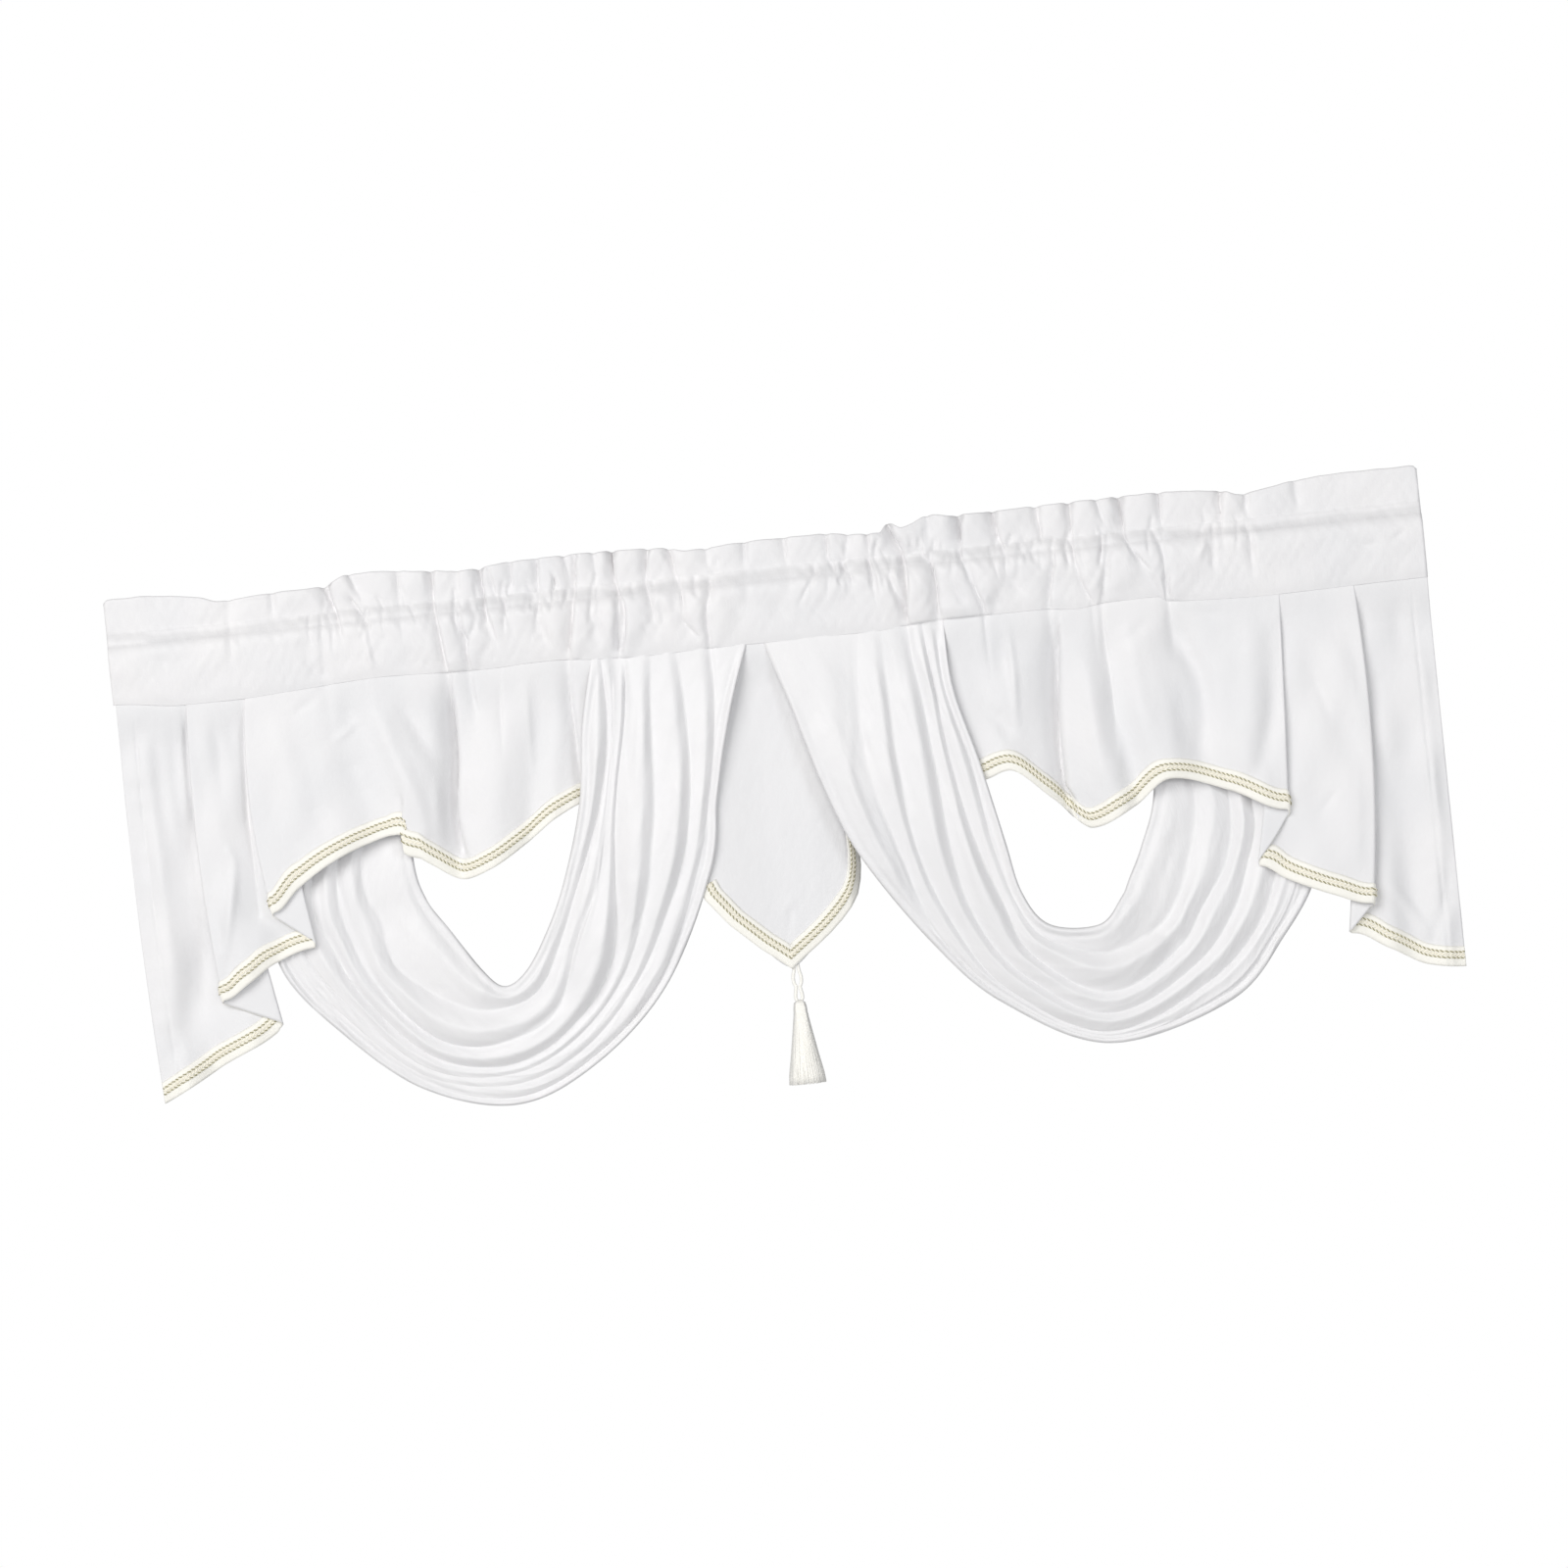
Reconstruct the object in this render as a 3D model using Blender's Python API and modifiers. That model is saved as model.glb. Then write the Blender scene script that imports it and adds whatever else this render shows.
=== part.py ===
"""Rod pocket valance: a gathered heading over a rod pocket, two pleated swags,
a cascade panel at each end, and a pointed pennant with a tassel in the middle.

All sizes below are millimetres. The origin is on the rod's line at the middle of the pocket,
+X runs to the right as seen from the room, -Y faces the room and +Z is up.
Each cloth is a grid bent along its own table of folds and thickened with Solidify.
"""
import math
from collections import namedtuple

import bmesh
import bpy
from mathutils import Vector

MM = 0.001
PART = "rod_pocket_valance"

# Driving sizes, in millimetres
BAND_LENGTH = 1347.0
CLOTH = 1.5
RUFFLE_CLOTH = 3.0
STITCH_Z = 12.5
SEAM_GAP = 0.4
SEAM_Z = -62.0
BRAID_WIDTH = 20.0
BRAID_THICKNESS = 1.2
BRAID_GAP = 0.45
BRAID_OVERHANG = 0.6
CORD_THICKNESS = 2.0
TASSEL_TOP = -429.0
TASSEL_HEAD_HEIGHT = 13.0
TASSEL_FOOT = -515.0
TASSEL_X = -8.0
TASSEL_Y = 5.6
# Corners nearer to each other than this are one corner
MERGE = 0.01

# The lower seam of the band, which is also the top of every hanging piece: x, z
SEAM_LINE = (
    (-673, -58), (-601, -65), (-551, -65), (-491, -62), (-401, -57), (-301, -60), (-221, -58),
    (-141, -63), (-41, -62), (99, -62), (179, -57), (279, -57), (314, -60), (369, -56),
    (429, -63), (499, -66), (673, -64),
)

# The top edge of the ruffle: x, z
RUFFLE_LINE = (
    (-673, 49), (-641, 49), (-576, 42), (-556, 36), (-501, 39), (-451, 40), (-421, 50), (-401, 50),
    (-351, 46), (-301, 42), (-256, 46), (-181, 47), (-101, 44), (-76, 39), (-1, 42), (59, 42),
    (99, 38), (121, 37), (131, 47), (144, 40), (174, 50), (199, 47), (399, 49), (474, 44),
    (489, 39), (549, 47), (599, 50), (673, 50),
)


def read_line(rows, x):
    """Read a smooth curve through rows of (x, value) at x, without overshoot at its peaks."""
    if x <= rows[0][0]:
        return rows[0][1]
    if x >= rows[-1][0]:
        return rows[-1][1]
    last = len(rows) - 1
    i = max(k for k in range(last) if rows[k][0] <= x)

    def slope(k):
        if k == 0 or k == last:
            return 0.0
        before = (rows[k][1] - rows[k - 1][1]) / (rows[k][0] - rows[k - 1][0])
        after = (rows[k + 1][1] - rows[k][1]) / (rows[k + 1][0] - rows[k][0])
        if before * after <= 0:
            return 0.0
        return 2 * before * after / (before + after)

    width = rows[i + 1][0] - rows[i][0]
    t = (x - rows[i][0]) / width
    rise = (2 * t - 3) * t * t
    return (
        (1 + rise) * rows[i][1] - rise * rows[i + 1][1]
        + t * (1 - t) * (1 - t) * width * slope(i)
        - t * t * (1 - t) * width * slope(i + 1)
    )


def mix(a, b, t):
    return a + (b - a) * t


def read_rows(values, t):
    """Read a smooth curve through evenly numbered values at t, where t=2.5 is half way from 2 to 3."""
    i = min(int(t), len(values) - 2)
    u = t - i
    p0 = values[max(i - 1, 0)]
    p1 = values[i]
    p2 = values[i + 1]
    p3 = values[min(i + 2, len(values) - 1)]
    return 0.5 * (
        2 * p1 + (p2 - p0) * u
        + (2 * p0 - 5 * p1 + 4 * p2 - p3) * u * u
        + (3 * p1 - p0 - 3 * p2 + p3) * u * u * u
    )


def seam_top(x):
    return read_line(SEAM_LINE, x) - SEAM_GAP


for old in list(bpy.data.objects):
    bpy.data.objects.remove(old, do_unlink=True)
part_collection = bpy.data.collections.new(PART)
bpy.context.scene.collection.children.link(part_collection)


def make_material(name, colour, roughness):
    material = bpy.data.materials.new(name)
    material.use_nodes = True
    shader = material.node_tree.nodes["Principled BSDF"]
    shader.inputs["Base Color"].default_value = (*colour, 1.0)
    shader.inputs["Roughness"].default_value = roughness
    shader.inputs["Metallic"].default_value = 0.0
    return material


def add_object(name, bm, colour, roughness):
    """Turn a bmesh in millimetres into an object in metres with its own material."""
    bmesh.ops.scale(bm, vec=(MM, MM, MM), verts=bm.verts)
    mesh = bpy.data.meshes.new(name)
    bm.to_mesh(mesh)
    bm.free()
    piece = bpy.data.objects.new(name, mesh)
    piece.data.materials.append(make_material(name + "_material", colour, roughness))
    part_collection.objects.link(piece)
    return piece


def bend_grid(bm, across, down, place):
    """Add a grid of across by down quads and move each corner to place(i, j)."""
    made = bmesh.ops.create_grid(bm, x_segments=across, y_segments=down, size=0.5)
    for vert in made["verts"]:
        i = round((vert.co.x + 0.5) * across)
        j = round((0.5 - vert.co.y) * down)
        vert.co = place(i, j)
    return made["verts"]


def add_sheet(name, across, down, place, thickness, colour, roughness):
    """One cloth: a bent grid, thickened evenly to both sides."""
    bm = bmesh.new()
    bend_grid(bm, across, down, place)
    piece = add_object(name, bm, colour, roughness)
    solidify = piece.modifiers.new("cloth thickness", "SOLIDIFY")
    solidify.thickness = thickness * MM
    solidify.offset = 0.0
    solidify.use_rim = True
    return piece


SATIN = (0.87, 0.86, 0.87)
SATIN_ROUGHNESS = 0.42
BRAID_COLOUR = (0.76, 0.66, 0.42)
BRAID_ROUGHNESS = 0.6
TASSEL_COLOUR = (0.86, 0.83, 0.74)
TASSEL_ROUGHNESS = 0.55

# Heading band: the folds of the ruffle and the puckers of the pocket below them.
# x where a fold leaves the top edge, x where it meets the stitch line, its depth in the ruffle,
# and how far the pocket swells beside it.
Gather = namedtuple("Gather", "top stitch depth pucker")
GATHERS = [Gather(*row) for row in (
    (-673.5, -673.5, 0.0, 0.0),
    (-622, -622, 1.0, 0.0),
    (-546, -546, 4.0, 1.5),
    (-501, -501, 2.0, 1.0),
    (-444, -434, 7.0, 4.0),
    (-416, -406, 6.0, 4.0),
    (-371, -373, 3.0, 2.0),
    (-338, -338, 5.0, 3.0),
    (-311, -313, 3.0, 3.0),
    (-289, -287, 7.0, 4.0),
    (-256, -258, 3.0, 3.0),
    (-229, -229, 3.0, 3.0),
    (-201, -201, 5.0, 4.0),
    (-171, -169, 5.0, 3.0),
    (-152, -151, 7.0, 5.0),
    (-115, -116, 5.0, 4.0),
    (-94, -86, 5.0, 3.0),
    (-56, -56, 6.0, 5.0),
    (-16, -18, 3.0, 2.0),
    (24, 25, 3.0, 2.0),
    (67, 67, 5.0, 4.0),
    (89, 89, 4.0, 3.0),
    (109, 109, 5.0, 3.0),
    (131, 145, 7.0, 5.0),
    (172, 173, 6.0, 5.0),
    (203, 207, 6.0, 4.0),
    (239, 243, 5.0, 3.0),
    (282, 282, 5.0, 3.0),
    (316, 316, 4.0, 3.0),
    (347, 343, 5.0, 3.0),
    (367, 373, 6.0, 4.0),
    (409, 409, 5.0, 3.0),
    (474, 470, 5.0, 2.0),
    (496, 496, 4.0, 1.5),
    (549, 549, 2.0, 0.0),
    (673.5, 673.5, 0.0, 0.0),
)]

# The pocket's cross-section without the ruffle, y and z, from the front of the lower seam
# up to the stitch line, and from there down the back; the pucker column says how much of a
# fold's swell each point takes. Heights under -40 follow the seam line.
Rib = namedtuple("Rib", "y z pucker")
POCKET_FRONT = [Rib(*row) for row in (
    (-5.5, -62.0, 0.0),
    (-6.5, -52.0, 0.1),
    (-12.5, -34.0, 0.5),
    (-15.0, -11.0, 1.0),
    (-12.5, 4.0, 1.0),
    (-6.5, 10.5, 0.5),
    (-1.5, 12.5, 0.0),
)]
POCKET_BACK = [Rib(*row) for row in (
    (1.5, 12.5, 0.0),
    (11.0, 6.0, 0.0),
    (12.7, -18.0, 0.0),
    (6.3, -52.0, 0.0),
    (5.5, -62.0, 0.0),
)]
# The hollow that the rod passes through
POCKET_HOLLOW = [Rib(*row) for row in (
    (-4.2, -49.0, 0.0),
    (-11.0, -33.0, 0.0),
    (-13.4, -11.0, 0.0),
    (-9.0, 6.5, 0.0),
    (0.0, 10.2, 0.0),
    (9.4, 4.6, 0.0),
    (11.1, -18.0, 0.0),
    (4.0, -49.0, 0.0),
)]
# Where between the stitch line and its top edge the ruffle bends, and how far its wave has grown there
RUFFLE_BEND_HEIGHT = 0.45
RUFFLE_BEND_WAVE = 0.7
# Under this height the pocket starts to follow the seam line, and it follows it fully this much lower
SEAM_FOLLOW_Z = -30.0
SEAM_FOLLOW_DROP = 22.0
# Between two folds further apart than this the swell gets three columns
WIDE_GAP = 34.0

Column = namedtuple("Column", "top stitch wave pucker")


def gather_columns():
    """A column at each fold and two or three on the swell between two folds."""
    columns = []
    for fold, following in zip(GATHERS, GATHERS[1:]):
        columns.append(Column(fold.top, fold.stitch, 0.5 * fold.depth, 0.0))
        swells = ((0.35, 0.9), (0.65, 0.9))
        if following.top - fold.top > WIDE_GAP:
            swells = ((0.22, 0.7), (0.5, 1.0), (0.78, 0.7))
        for share, height in swells:
            depth = mix(fold.depth, following.depth, share)
            pucker = mix(fold.pucker, following.pucker, share)
            columns.append(Column(
                mix(fold.top, following.top, share),
                mix(fold.stitch, following.stitch, share),
                -0.5 * depth * height,
                pucker * height,
            ))
    end = GATHERS[-1]
    columns.append(Column(end.top, end.stitch, 0.0, 0.0))
    return columns


def pocket_ring(column, ribs):
    """The points of one cross-section of the pocket."""
    sink = read_line(SEAM_LINE, column.stitch) - SEAM_Z
    points = []
    for rib in ribs:
        low = min(1.0, max(0.0, (SEAM_FOLLOW_Z - rib.z) / SEAM_FOLLOW_DROP))
        points.append(Vector((column.stitch, rib.y - column.pucker * rib.pucker, rib.z + sink * low)))
    return points


def band_ring(column):
    """The points round the outside of one cross-section, ruffle included."""
    top = read_line(RUFFLE_LINE, column.top)
    half = RUFFLE_CLOTH / 2
    middle_x = mix(column.stitch, column.top, RUFFLE_BEND_HEIGHT)
    middle_z = mix(STITCH_Z, top, RUFFLE_BEND_HEIGHT)
    middle_y = column.wave * RUFFLE_BEND_WAVE
    ruffle = [
        Vector((middle_x, middle_y - half, middle_z)),
        Vector((column.top, column.wave - half, top)),
        Vector((column.top, column.wave + half, top)),
        Vector((middle_x, middle_y + half, middle_z)),
    ]
    return pocket_ring(column, POCKET_FRONT) + ruffle + pocket_ring(column, POCKET_BACK)


def add_heading_band():
    """The band is one closed tube whose wall carries the ruffle; both of its ends are open."""
    columns = gather_columns()
    outer = [band_ring(column) for column in columns]
    inner = [pocket_ring(column, POCKET_HOLLOW) for column in columns]
    bm = bmesh.new()
    for rings in (outer, inner):
        around = len(rings[0])
        bend_grid(bm, len(columns) - 1, around, lambda i, j: rings[i][j % around])
    bmesh.ops.remove_doubles(bm, verts=bm.verts, dist=MERGE)
    for side in (-BAND_LENGTH / 2, BAND_LENGTH / 2):
        rim = [
            edge for edge in bm.edges
            if edge.is_boundary and all(abs(vert.co.x - side) < MERGE for vert in edge.verts)
        ]
        bmesh.ops.triangle_fill(bm, use_beauty=True, edges=rim)
    bmesh.ops.recalc_face_normals(bm, faces=bm.faces)
    return add_object("heading_band", bm, SATIN, SATIN_ROUGHNESS)


# Side panels. Each is one cloth laid back and forth in tiers. An edge or fold of a tier runs
# down its own line: x at the seam, half way and at the foot, then the z of the foot.
FoldLine = namedtuple("FoldLine", "seam middle foot foot_z")
# y of the tier's two sides at the seam and at the foot, the foot itself as x, z, and how many
# steps the tier is made in
Tier = namedtuple("Tier", "start end seam_y foot_y foot steps")

LEFT_TIERS = [
    Tier(
        FoldLine(-671, -671, -663, -468), FoldLine(-586, -562, -534, -402),
        (2.4, 2.4), (8.0, 8.0),
        ((-664, -468), (-656, -465), (-601, -436), (-539, -407), (-534, -402)), 7,
    ),
    Tier(
        FoldLine(-599, -603, -593, -369), FoldLine(-526, -510, -492, -325),
        (-3.0, 2.4), (-5.0, -5.0),
        ((-593, -369), (-566, -355), (-536, -337), (-492, -325)), 6,
    ),
    Tier(
        FoldLine(-539, -545, -533, -285), FoldLine(-178, -190, -202, -205),
        (-3.0, 1.2), (-17.0, -3.5),
        ((-533, -285), (-501, -263), (-461, -240), (-426, -226), (-388, -221), (-380, -241),
         (-361, -254), (-326, -271), (-301, -264), (-261, -240), (-229, -216), (-202, -205)), 25,
    ),
]
RIGHT_TIERS = [
    Tier(
        FoldLine(171, 174, 189, -223), FoldLine(521, 515, 508, -285),
        (1.2, -3.0), (-3.5, -17.0),
        ((189, -223), (201, -224), (229, -217), (264, -250), (296, -284), (349, -265),
         (389, -242), (449, -260), (508, -285)), 25,
    ),
    Tier(
        FoldLine(507, 496, 471, -340), FoldLine(597, 600, 585, -389),
        (2.4, -3.0), (-5.0, -5.0),
        ((471, -340), (499, -355), (549, -377), (585, -389)), 6,
    ),
    Tier(
        FoldLine(587, 579, 557, -418), FoldLine(673, 673, 673, -463),
        (2.4, 2.4), (8.0, 8.0),
        ((557, -418), (599, -438), (639, -458), (673, -463)), 7,
    ),
]

# Soft folds in a tier: which tier, its place across the tier at the seam and at the foot (0 to 1),
# its depth at the seam and at the foot (forward is negative), and its half width
SoftFold = namedtuple("SoftFold", "tier seam foot seam_depth foot_depth width")
LEFT_FOLDS = [SoftFold(*row) for row in (
    (0, 0.30, 0.18, 0.0, -3.0, 12.0),
    (0, 0.60, 0.42, 0.5, 4.5, 16.0),
    (0, 0.80, 0.75, 0.0, -2.0, 14.0),
    (1, 0.45, 0.45, 0.0, -2.5, 18.0),
    (2, 0.22, 0.22, -0.5, -4.0, 30.0),
    (2, 0.48, 0.50, -0.8, -7.0, 24.0),
    (2, 0.605, 0.612, 1.0, 12.0, 15.0),
    (2, 0.72, 0.73, -0.8, -6.0, 22.0),
    (2, 0.83, 0.83, 0.3, 3.0, 13.0),
    (2, 0.90, 0.90, -0.3, -2.0, 10.0),
)]
RIGHT_FOLDS = [SoftFold(*row) for row in (
    (0, 0.14, 0.15, -0.5, -4.0, 18.0),
    (0, 0.33, 0.31, 1.0, 12.0, 16.0),
    (0, 0.42, 0.43, -0.8, -5.0, 20.0),
    (0, 0.50, 0.51, 0.3, 4.0, 14.0),
    (0, 0.58, 0.61, -0.8, -7.0, 22.0),
    (0, 0.66, 0.79, 1.2, 7.0, 22.0),
    (0, 0.84, 0.92, -0.5, -3.0, 20.0),
    (1, 0.50, 0.50, 0.0, -3.0, 18.0),
    (2, 0.35, 0.35, 0.0, -3.0, 14.0),
    (2, 0.60, 0.58, 0.5, 4.0, 14.0),
    (2, 0.85, 0.85, 0.0, -2.0, 12.0),
)]
TURN_STEPS = 3
RETURN_STEPS = 2
PANEL_DROP_STEPS = 8
TURN_SHARE = 0.15
# A soft fold fades out over this share of the tier at each of its sides
FADE_SHARE = 0.125
# On a slope the braid's strip is taller, but no more than this many times its width
MAX_STRETCH = 1.35

Place = namedtuple("Place", "kind tier share")


def down_share(line, z):
    return (z - SEAM_Z) / (line.foot_z - SEAM_Z)


def line_x(line, z):
    """x of a fold line at height z, a parabola through its three places."""
    t = down_share(line, z)
    return (
        line.seam * (1 - t) * (1 - 2 * t)
        + line.middle * 4 * t * (1 - t)
        + line.foot * t * (2 * t - 1)
    )


def tier_side(tier, side, z):
    """x and y of a tier's start (side 0) or end (side 1) at height z."""
    line = tier.start if side == 0 else tier.end
    t = min(1.0, max(0.0, down_share(line, z)))
    return line_x(line, z), mix(tier.seam_y[side], tier.foot_y[side], t)


def panel_places(tiers):
    """The columns of a panel: along each tier, round its fold, back along the return, and so on."""
    places = []
    for k, tier in enumerate(tiers):
        first = 0 if k == 0 else 1
        places += [Place("tier", k, n / tier.steps) for n in range(first, tier.steps + 1)]
        if k < len(tiers) - 1:
            places += [Place("fold", k, n / TURN_STEPS) for n in range(1, TURN_STEPS + 1)]
            places += [Place("return", k, n / RETURN_STEPS) for n in range(1, RETURN_STEPS + 1)]
            places += [Place("turn", k, n / TURN_STEPS) for n in range(1, TURN_STEPS + 1)]
    return places


def panel_section(tiers, folds, place, z):
    """x and y of a column at height z."""
    tier = tiers[place.tier]
    start_x, start_y = tier_side(tier, 0, z)
    end_x, end_y = tier_side(tier, 1, z)
    if place.kind == "tier":
        if place.tier > 0:
            start_x += abs(start_y - tier_side(tiers[place.tier - 1], 1, z)[1]) / 4
        if place.tier < len(tiers) - 1:
            end_x -= abs(end_y - tier_side(tiers[place.tier + 1], 0, z)[1]) / 4
        x = mix(start_x, end_x, place.share)
        y = mix(start_y, end_y, place.share)
        for fold in folds:
            if fold.tier == place.tier:
                t = min(1.0, max(0.0, down_share(tier.start, z)))
                away = (place.share - mix(fold.seam, fold.foot, t)) * (end_x - start_x) / fold.width
                calm = min(1.0, place.share / FADE_SHARE, (1 - place.share) / FADE_SHARE)
                y += calm * mix(fold.seam_depth, fold.foot_depth, t) * math.exp(-away * away)
        return x, y
    next_x, next_y = tier_side(tiers[place.tier + 1], 0, z)
    return_y = (end_y + next_y) / 2
    fold_radius = abs(end_y - return_y) / 2
    turn_radius = abs(next_y - return_y) / 2
    angle = math.pi * place.share
    if place.kind == "fold":
        x = end_x - fold_radius * (1 - math.sin(angle))
        return x, mix(end_y, return_y, (1 - math.cos(angle)) / 2)
    if place.kind == "return":
        return mix(end_x - fold_radius, next_x + turn_radius, place.share), return_y
    x = next_x + turn_radius * (1 - math.sin(angle))
    return x, mix(return_y, next_y, (1 - math.cos(angle)) / 2)


def panel_foot(tiers, place):
    """z of the panel's foot at a column."""
    tier = tiers[place.tier]
    if place.kind == "tier":
        return read_line(tier.foot, mix(tier.start.foot, tier.end.foot, place.share))
    share = {
        "fold": TURN_SHARE * place.share,
        "return": mix(TURN_SHARE, 1 - TURN_SHARE, place.share),
        "turn": 1 - TURN_SHARE * (1 - place.share),
    }[place.kind]
    return mix(tier.foot[-1][1], tiers[place.tier + 1].foot[0][1], share)


def panel_point(tiers, folds, place, z):
    x, y = panel_section(tiers, folds, place, z)
    return Vector((x, y, z))


def panel_corner(tiers, folds, places, i, j):
    """Corner j down column i of a panel. Its last step is the strip that the braid covers."""
    foot = panel_foot(tiers, places[i])
    if j == PANEL_DROP_STEPS:
        return panel_point(tiers, folds, places[i], foot)
    before = places[max(i - 1, 0)]
    after = places[min(i + 1, len(places) - 1)]
    run = panel_point(tiers, folds, after, foot) - panel_point(tiers, folds, before, foot)
    climb = panel_foot(tiers, after) - panel_foot(tiers, before)
    stretch = min(MAX_STRETCH, math.hypot(1.0, climb / max(math.hypot(run.x, run.y), 1.0)))
    seam_x = panel_section(tiers, folds, places[i], SEAM_Z)[0]
    above_braid = foot + BRAID_WIDTH * stretch
    z = mix(seam_top(seam_x), above_braid, j / (PANEL_DROP_STEPS - 1))
    return panel_point(tiers, folds, places[i], z)


def add_side_panel(name, tiers, folds):
    places = panel_places(tiers)
    return add_sheet(
        name, len(places) - 1, PANEL_DROP_STEPS,
        lambda i, j: panel_corner(tiers, folds, places, i, j), CLOTH, SATIN, SATIN_ROUGHNESS,
    )


def add_panel_braid(name, tiers, folds):
    """Braid on the right side of a panel's foot, so on a return it lies at the back."""
    places = panel_places(tiers)
    lift = CLOTH / 2 + BRAID_GAP + BRAID_THICKNESS / 2
    last = len(places) - 1
    heads = [panel_corner(tiers, folds, places, i, PANEL_DROP_STEPS - 1) for i in range(last + 1)]
    feet = [panel_corner(tiers, folds, places, i, PANEL_DROP_STEPS) for i in range(last + 1)]

    def corner(i, j):
        outward = Vector((0.0, 0.0, 0.0))
        for a, b in ((max(i - 1, 0), i), (i, min(i + 1, last))):
            for line in (heads, feet):
                along = line[b] - line[a]
                outward += Vector((along.y, -along.x, 0.0)).normalized()
        here = heads[i]
        if j == 1:
            here = feet[i] + (feet[i] - heads[i]).normalized() * BRAID_OVERHANG
        return here + outward.normalized() * lift

    return add_sheet(name, last, 1, corner, BRAID_THICKNESS, BRAID_COLOUR, BRAID_ROUGHNESS)


# Swags. A row for each section across the cloth, from the seam at the middle of the valance,
# down the inner arm, round the low point and up to the seam behind the side panel:
# x and z of the upper edge and of the lower edge, and the shares between them at which the
# valleys lie.
Section = namedtuple("Section", "upper lower valleys")
LEFT_SWAG = [Section(*row) for row in (
    ((-184, -62), (-25, -62), (0.06, 0.13, 0.22, 0.38, 0.54, 0.78)),
    ((-200, -128), (-48, -128), (0.17, 0.21, 0.28, 0.46, 0.70, 0.89)),
    ((-211, -208), (-69, -208), (0.15, 0.20, 0.26, 0.54, 0.80, 0.93)),
    ((-236, -288), (-84, -288), (0.10, 0.23, 0.35, 0.58, 0.78, 0.90)),
    ((-261, -340), (-141, -400), (0.13, 0.25, 0.55, 0.67, 0.79, 0.93)),
    ((-284, -373), (-221, -473), (0.19, 0.42, 0.62, 0.72, 0.83, 0.93)),
    ((-306, -384), (-306, -506), (0.18, 0.44, 0.66, 0.74, 0.83, 0.93)),
    ((-326, -366), (-401, -479), (0.31, 0.60, 0.75, 0.84, 0.90, 0.95)),
    ((-356, -320), (-481, -410), (0.43, 0.60, 0.73, 0.83, 0.90, 0.95)),
    ((-376, -288), (-529, -348), (0.32, 0.53, 0.66, 0.82, 0.89, 0.95)),
    ((-385, -248), (-535, -288), (0.36, 0.54, 0.72, 0.84, 0.90, 0.95)),
    ((-383, -168), (-519, -178), (0.35, 0.52, 0.68, 0.80, 0.88, 0.94)),
    ((-381, -62), (-510, -62), (0.30, 0.45, 0.60, 0.74, 0.84, 0.92)),
)]
RIGHT_SWAG = [Section(*row) for row in (
    ((177, -62), (-8, -62), (0.05, 0.12, 0.20, 0.35, 0.48)),
    ((180, -128), (13, -128), (0.05, 0.11, 0.20, 0.40, 0.58)),
    ((200, -208), (36, -208), (0.06, 0.18, 0.28, 0.51, 0.69)),
    ((217, -288), (68, -288), (0.09, 0.20, 0.38, 0.60, 0.73)),
    ((229, -343), (134, -386), (0.10, 0.21, 0.52, 0.735, 0.90)),
    ((254, -378), (199, -453), (0.15, 0.38, 0.62, 0.85, 0.94)),
    ((304, -383), (304, -505), (0.24, 0.57, 0.75, 0.905, 0.96)),
    ((329, -358), (431, -474), (0.31, 0.51, 0.665, 0.81, 0.92)),
    ((339, -340), (492, -413), (0.32, 0.475, 0.655, 0.83, 0.93)),
    ((355, -308), (529, -356), (0.28, 0.49, 0.61, 0.78, 0.90)),
    ((373, -256), (534, -298), (0.26, 0.48, 0.62, 0.79, 0.90)),
    ((377, -168), (505, -178), (0.26, 0.46, 0.62, 0.78, 0.90)),
    ((379, -62), (495, -62), (0.25, 0.44, 0.62, 0.78, 0.90)),
)]

# How the sections of both swags lie in depth: y of the valleys, the height of the swells in
# front of them, and how far each pleat lies behind the one above it
Lie = namedtuple("Lie", "valley_y swell step")
SWAG_LIES = [Lie(*row) for row in (
    (-1.6, 2.0, 0.0),
    (-7.0, 9.0, 0.0),
    (-9.0, 12.0, 0.0),
    (-7.5, 14.0, 0.3),
    (-6.0, 15.0, 1.0),
    (-4.0, 15.0, 1.4),
    (-2.0, 15.0, 1.8),
    (3.0, 14.0, 1.2),
    (9.0, 12.0, 0.4),
    (12.0, 10.5, 0.0),
    (11.5, 8.5, 0.0),
    (8.0, 4.2, 0.0),
    (3.6, 1.4, 0.0),
)]

# How sharply each valley is sunk on the inner arm, at the low point and on the outer arm
LEFT_VALLEYS = (
    (1.0, 0.9, 0.8), (0.1, 0.8, 1.0), (1.0, 1.0, 1.0), (0.9, 0.5, 0.9), (1.0, 0.7, 0.3), (0.8, 0.2, 0.1),
)
RIGHT_VALLEYS = (
    (0.3, 0.9, 1.0), (1.0, 0.9, 1.0), (1.0, 0.9, 1.0), (0.5, 1.0, 1.0), (0.9, 0.1, 0.3),
)
PLEAT_STEPS = 4
# Steps along a swag's length: from a section, to a section, how many
LENGTH_STEPS = ((0, 3, 5), (3, 10, 18), (10, 12, 3))
# A pleat's swell is at most this share of its width, and its section is rounder than a parabola
SWELL_OF_WIDTH = 0.42
SWELL_POWER = 2.2
# The share of a swell's rise that the first and last pleat leave out at the cloth's edge
EDGE_SHARE = 0.35


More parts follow.
